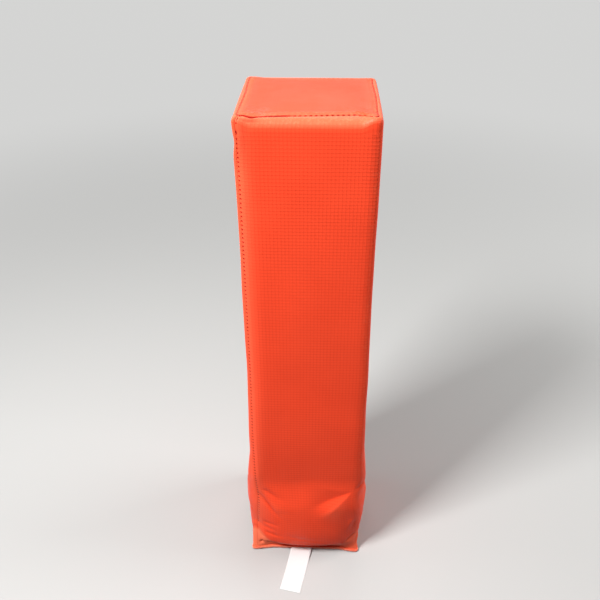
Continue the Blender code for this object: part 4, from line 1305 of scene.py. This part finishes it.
# The tag: a strip of white woven polyester, cut square, one end caught between the two layers of
# the base seam and the rest lying on the ground at a slant. It's blank.
TAG_WIDTH = 0.0208
TAG_LENGTH = 0.0490
TAG_THICKNESS = 0.00025
TAG_SEWN = 0.0040
TAG_CENTRE_X = -0.0047
TAG_SLANT = np.radians(11.5)
TAG_TOP = 0.00229
TAG_DROOP = 0.0180
TAG_HINGE_Y = -0.0520
HINGE_MARGIN = 0.0006
RIBBON_YARN, RIBBON_PICK = 0.00045, 0.0006


def tag_material(name):
    """White satin ribbon: fine floating yarns along it, crossed by finer ones, by the tag's map."""
    n = Nodes(name, 0.5, **{"Sheen Weight": 0.25, "Sheen Roughness": 0.4})
    u, v = n.uv("cloth")
    yarns = n.math("SINE", n.times(u, 2 * np.pi / RIBBON_YARN))
    picks = n.math("SINE", n.times(v, 2 * np.pi / RIBBON_PICK))
    weave = n.sum(n.times(yarns, 0.7), n.times(n.times(yarns, picks), 0.3))
    colour = n.tint(n.between(weave, -0.8, 0.8), (0.68, 0.68, 0.67), (0.75, 0.75, 0.74))
    return n.finished(colour, n.relief(weave, 0.00003))


run, side = np.meshgrid(np.linspace(-TAG_SEWN, TAG_LENGTH, 54), np.linspace(-0.5, 0.5, 15), indexing="ij")
lateral = side * TAG_WIDTH
x = TAG_CENTRE_X - run * np.sin(TAG_SLANT) + lateral * np.cos(TAG_SLANT)
y = TAG_HINGE_Y - run * np.cos(TAG_SLANT) - lateral * np.sin(TAG_SLANT)
fallen = ease((TAG_HINGE_Y - HINGE_MARGIN - y) / TAG_DROOP)
z = mix(TAG_TOP, TAG_THICKNESS + 0.0001, fallen)
points = np.stack([x, y, z], axis=-1)
rows, width = x.shape
low = np.arange(rows - 1)[:, None] * width + np.arange(width - 1)
faces = np.stack([low, low + width, low + width + 1, low + 1], axis=-1).reshape(-1, 4).tolist()
tag_map = np.stack([lateral, run], axis=-1)
tag = new_piece("blank_tag", points, faces, [tag_material("white_ribbon")], {"cloth": tag_map})
thickened(tag, TAG_THICKNESS)
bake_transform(tag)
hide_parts("tag_tail", "tag_sewn_end")


# The plain pale floor and its far part, the camera at the photograph's place and the soft lamps:
# a small one at the front left, wide ones at the left and right, and one behind.
floor_mesh = bpy.data.meshes.new("floor")
floor_mesh.from_pydata([(-8, -8, 0), (8, -8, 0), (8, 8, 0), (-8, 8, 0)], [], [(0, 1, 2, 3)])
floor = bpy.data.objects.new("floor", floor_mesh)
bpy.context.scene.collection.objects.link(floor)


def floor_material(name):
    """A matt pale floor that is as pale to the eye and in reflections as it's written, but throws
    less light back up, and keeps one even tone beyond the reach of the lamps."""
    n = Nodes(name, 0.9, **{"Specular IOR Level": 0.2})
    ray = n.add("LightPath")
    seen = n.math("MAXIMUM", ray.outputs["Is Camera Ray"], ray.outputs["Is Glossy Ray"])
    seen = n.math("MAXIMUM", seen, ray.outputs["Is Transmission Ray"])
    away = n.add("VectorMath", n.add("TexCoord").outputs["Object"], operation="LENGTH").outputs["Value"]
    far = n.times(seen, n.between(away, 0.35, 1.5))
    near_tone = n.tint(seen, (0.11, 0.11, 0.11), (0.46, 0.46, 0.45))
    n.give(n.shader.inputs["Base Color"], n.tint(far, near_tone, (0.0, 0.0, 0.0)))
    n.give(n.shader.inputs["Emission Color"], (0.80, 0.80, 0.79, 1.0))
    n.give(n.shader.inputs["Emission Strength"], n.times(far, 0.80))
    return n.material


floor_mesh.materials.append(floor_material("pale_floor"))

CAMERA_PLACE = (0.0133, -0.5004, 0.6101)
CAMERA_PITCH, CAMERA_YAW, CAMERA_ROLL = np.radians([33.61, 2.359, -0.242])
FOCAL_PIXELS = 683.55
FRAME_PIXELS = 600
SENSOR = 36
back = np.array([
    np.sin(CAMERA_YAW) * np.cos(CAMERA_PITCH),
    -np.cos(CAMERA_YAW) * np.cos(CAMERA_PITCH),
    np.sin(CAMERA_PITCH),
])
sideways = unit(np.cross(-back, (0, 0, 1)))
upright = np.cross(sideways, -back)
to_right = sideways * np.cos(CAMERA_ROLL) + upright * np.sin(CAMERA_ROLL)
head = upright * np.cos(CAMERA_ROLL) - sideways * np.sin(CAMERA_ROLL)
camera = bpy.data.objects.new("camera", bpy.data.cameras.new("camera"))
bpy.context.scene.collection.objects.link(camera)
placed = np.eye(4)
placed[:3, :4] = np.stack([to_right, head, back, CAMERA_PLACE], axis=-1)
camera.matrix_world = Matrix(placed.tolist())
camera.data.sensor_width = SENSOR
camera.data.lens = FOCAL_PIXELS / FRAME_PIXELS * SENSOR
bpy.context.scene.camera = camera


def lamp(name, place, aim, size, power, colour=(1, 1, 1)):
    """A square soft lamp at a place, turned towards a point."""
    data = bpy.data.lights.new(name, "AREA")
    data.size, data.energy, data.color = size, power, colour
    item = bpy.data.objects.new(name, data)
    item.location = place
    item.rotation_euler = (Vector(aim) - Vector(place)).to_track_quat("-Z", "Y").to_euler()
    bpy.context.scene.collection.objects.link(item)


lamp("key_lamp", (-0.53, -0.46, 1.05), (0, 0, 0.20), 0.28, 20)
lamp("left_lamp", (-1.50, 0.25, 0.95), (0, 0, 0.25), 0.9, 4.5)
lamp("right_lamp", (1.48, 0.28, 0.95), (0, 0, 0.25), 0.9, 22)
lamp("back_lamp", (0.05, 1.30, 1.60), (0, 0, 0.25), 0.9, 10)

# The room round it: a dim, even light that is pale where it is seen or mirrored.
world = bpy.data.worlds.new("room")
world.use_nodes = True
room = world.node_tree
ray = room.nodes.new("ShaderNodeLightPath")
seen = ray.outputs["Is Camera Ray"]
for title in ("Is Glossy Ray", "Is Transmission Ray"):
    either = room.nodes.new("ShaderNodeMath")
    either.operation = "MAXIMUM"
    room.links.new(seen, either.inputs[0])
    room.links.new(ray.outputs[title], either.inputs[1])
    seen = either.outputs[0]
strength = room.nodes.new("ShaderNodeMapRange")
strength.inputs["To Min"].default_value = 0.12
strength.inputs["To Max"].default_value = 0.64
room.links.new(seen, strength.inputs["Value"])
room.links.new(strength.outputs[0], room.nodes["Background"].inputs["Strength"])
room.nodes["Background"].inputs["Color"].default_value = (1.0, 1.0, 0.99, 1.0)
bpy.context.scene.world = world
bpy.context.scene.view_settings.view_transform = "Standard"
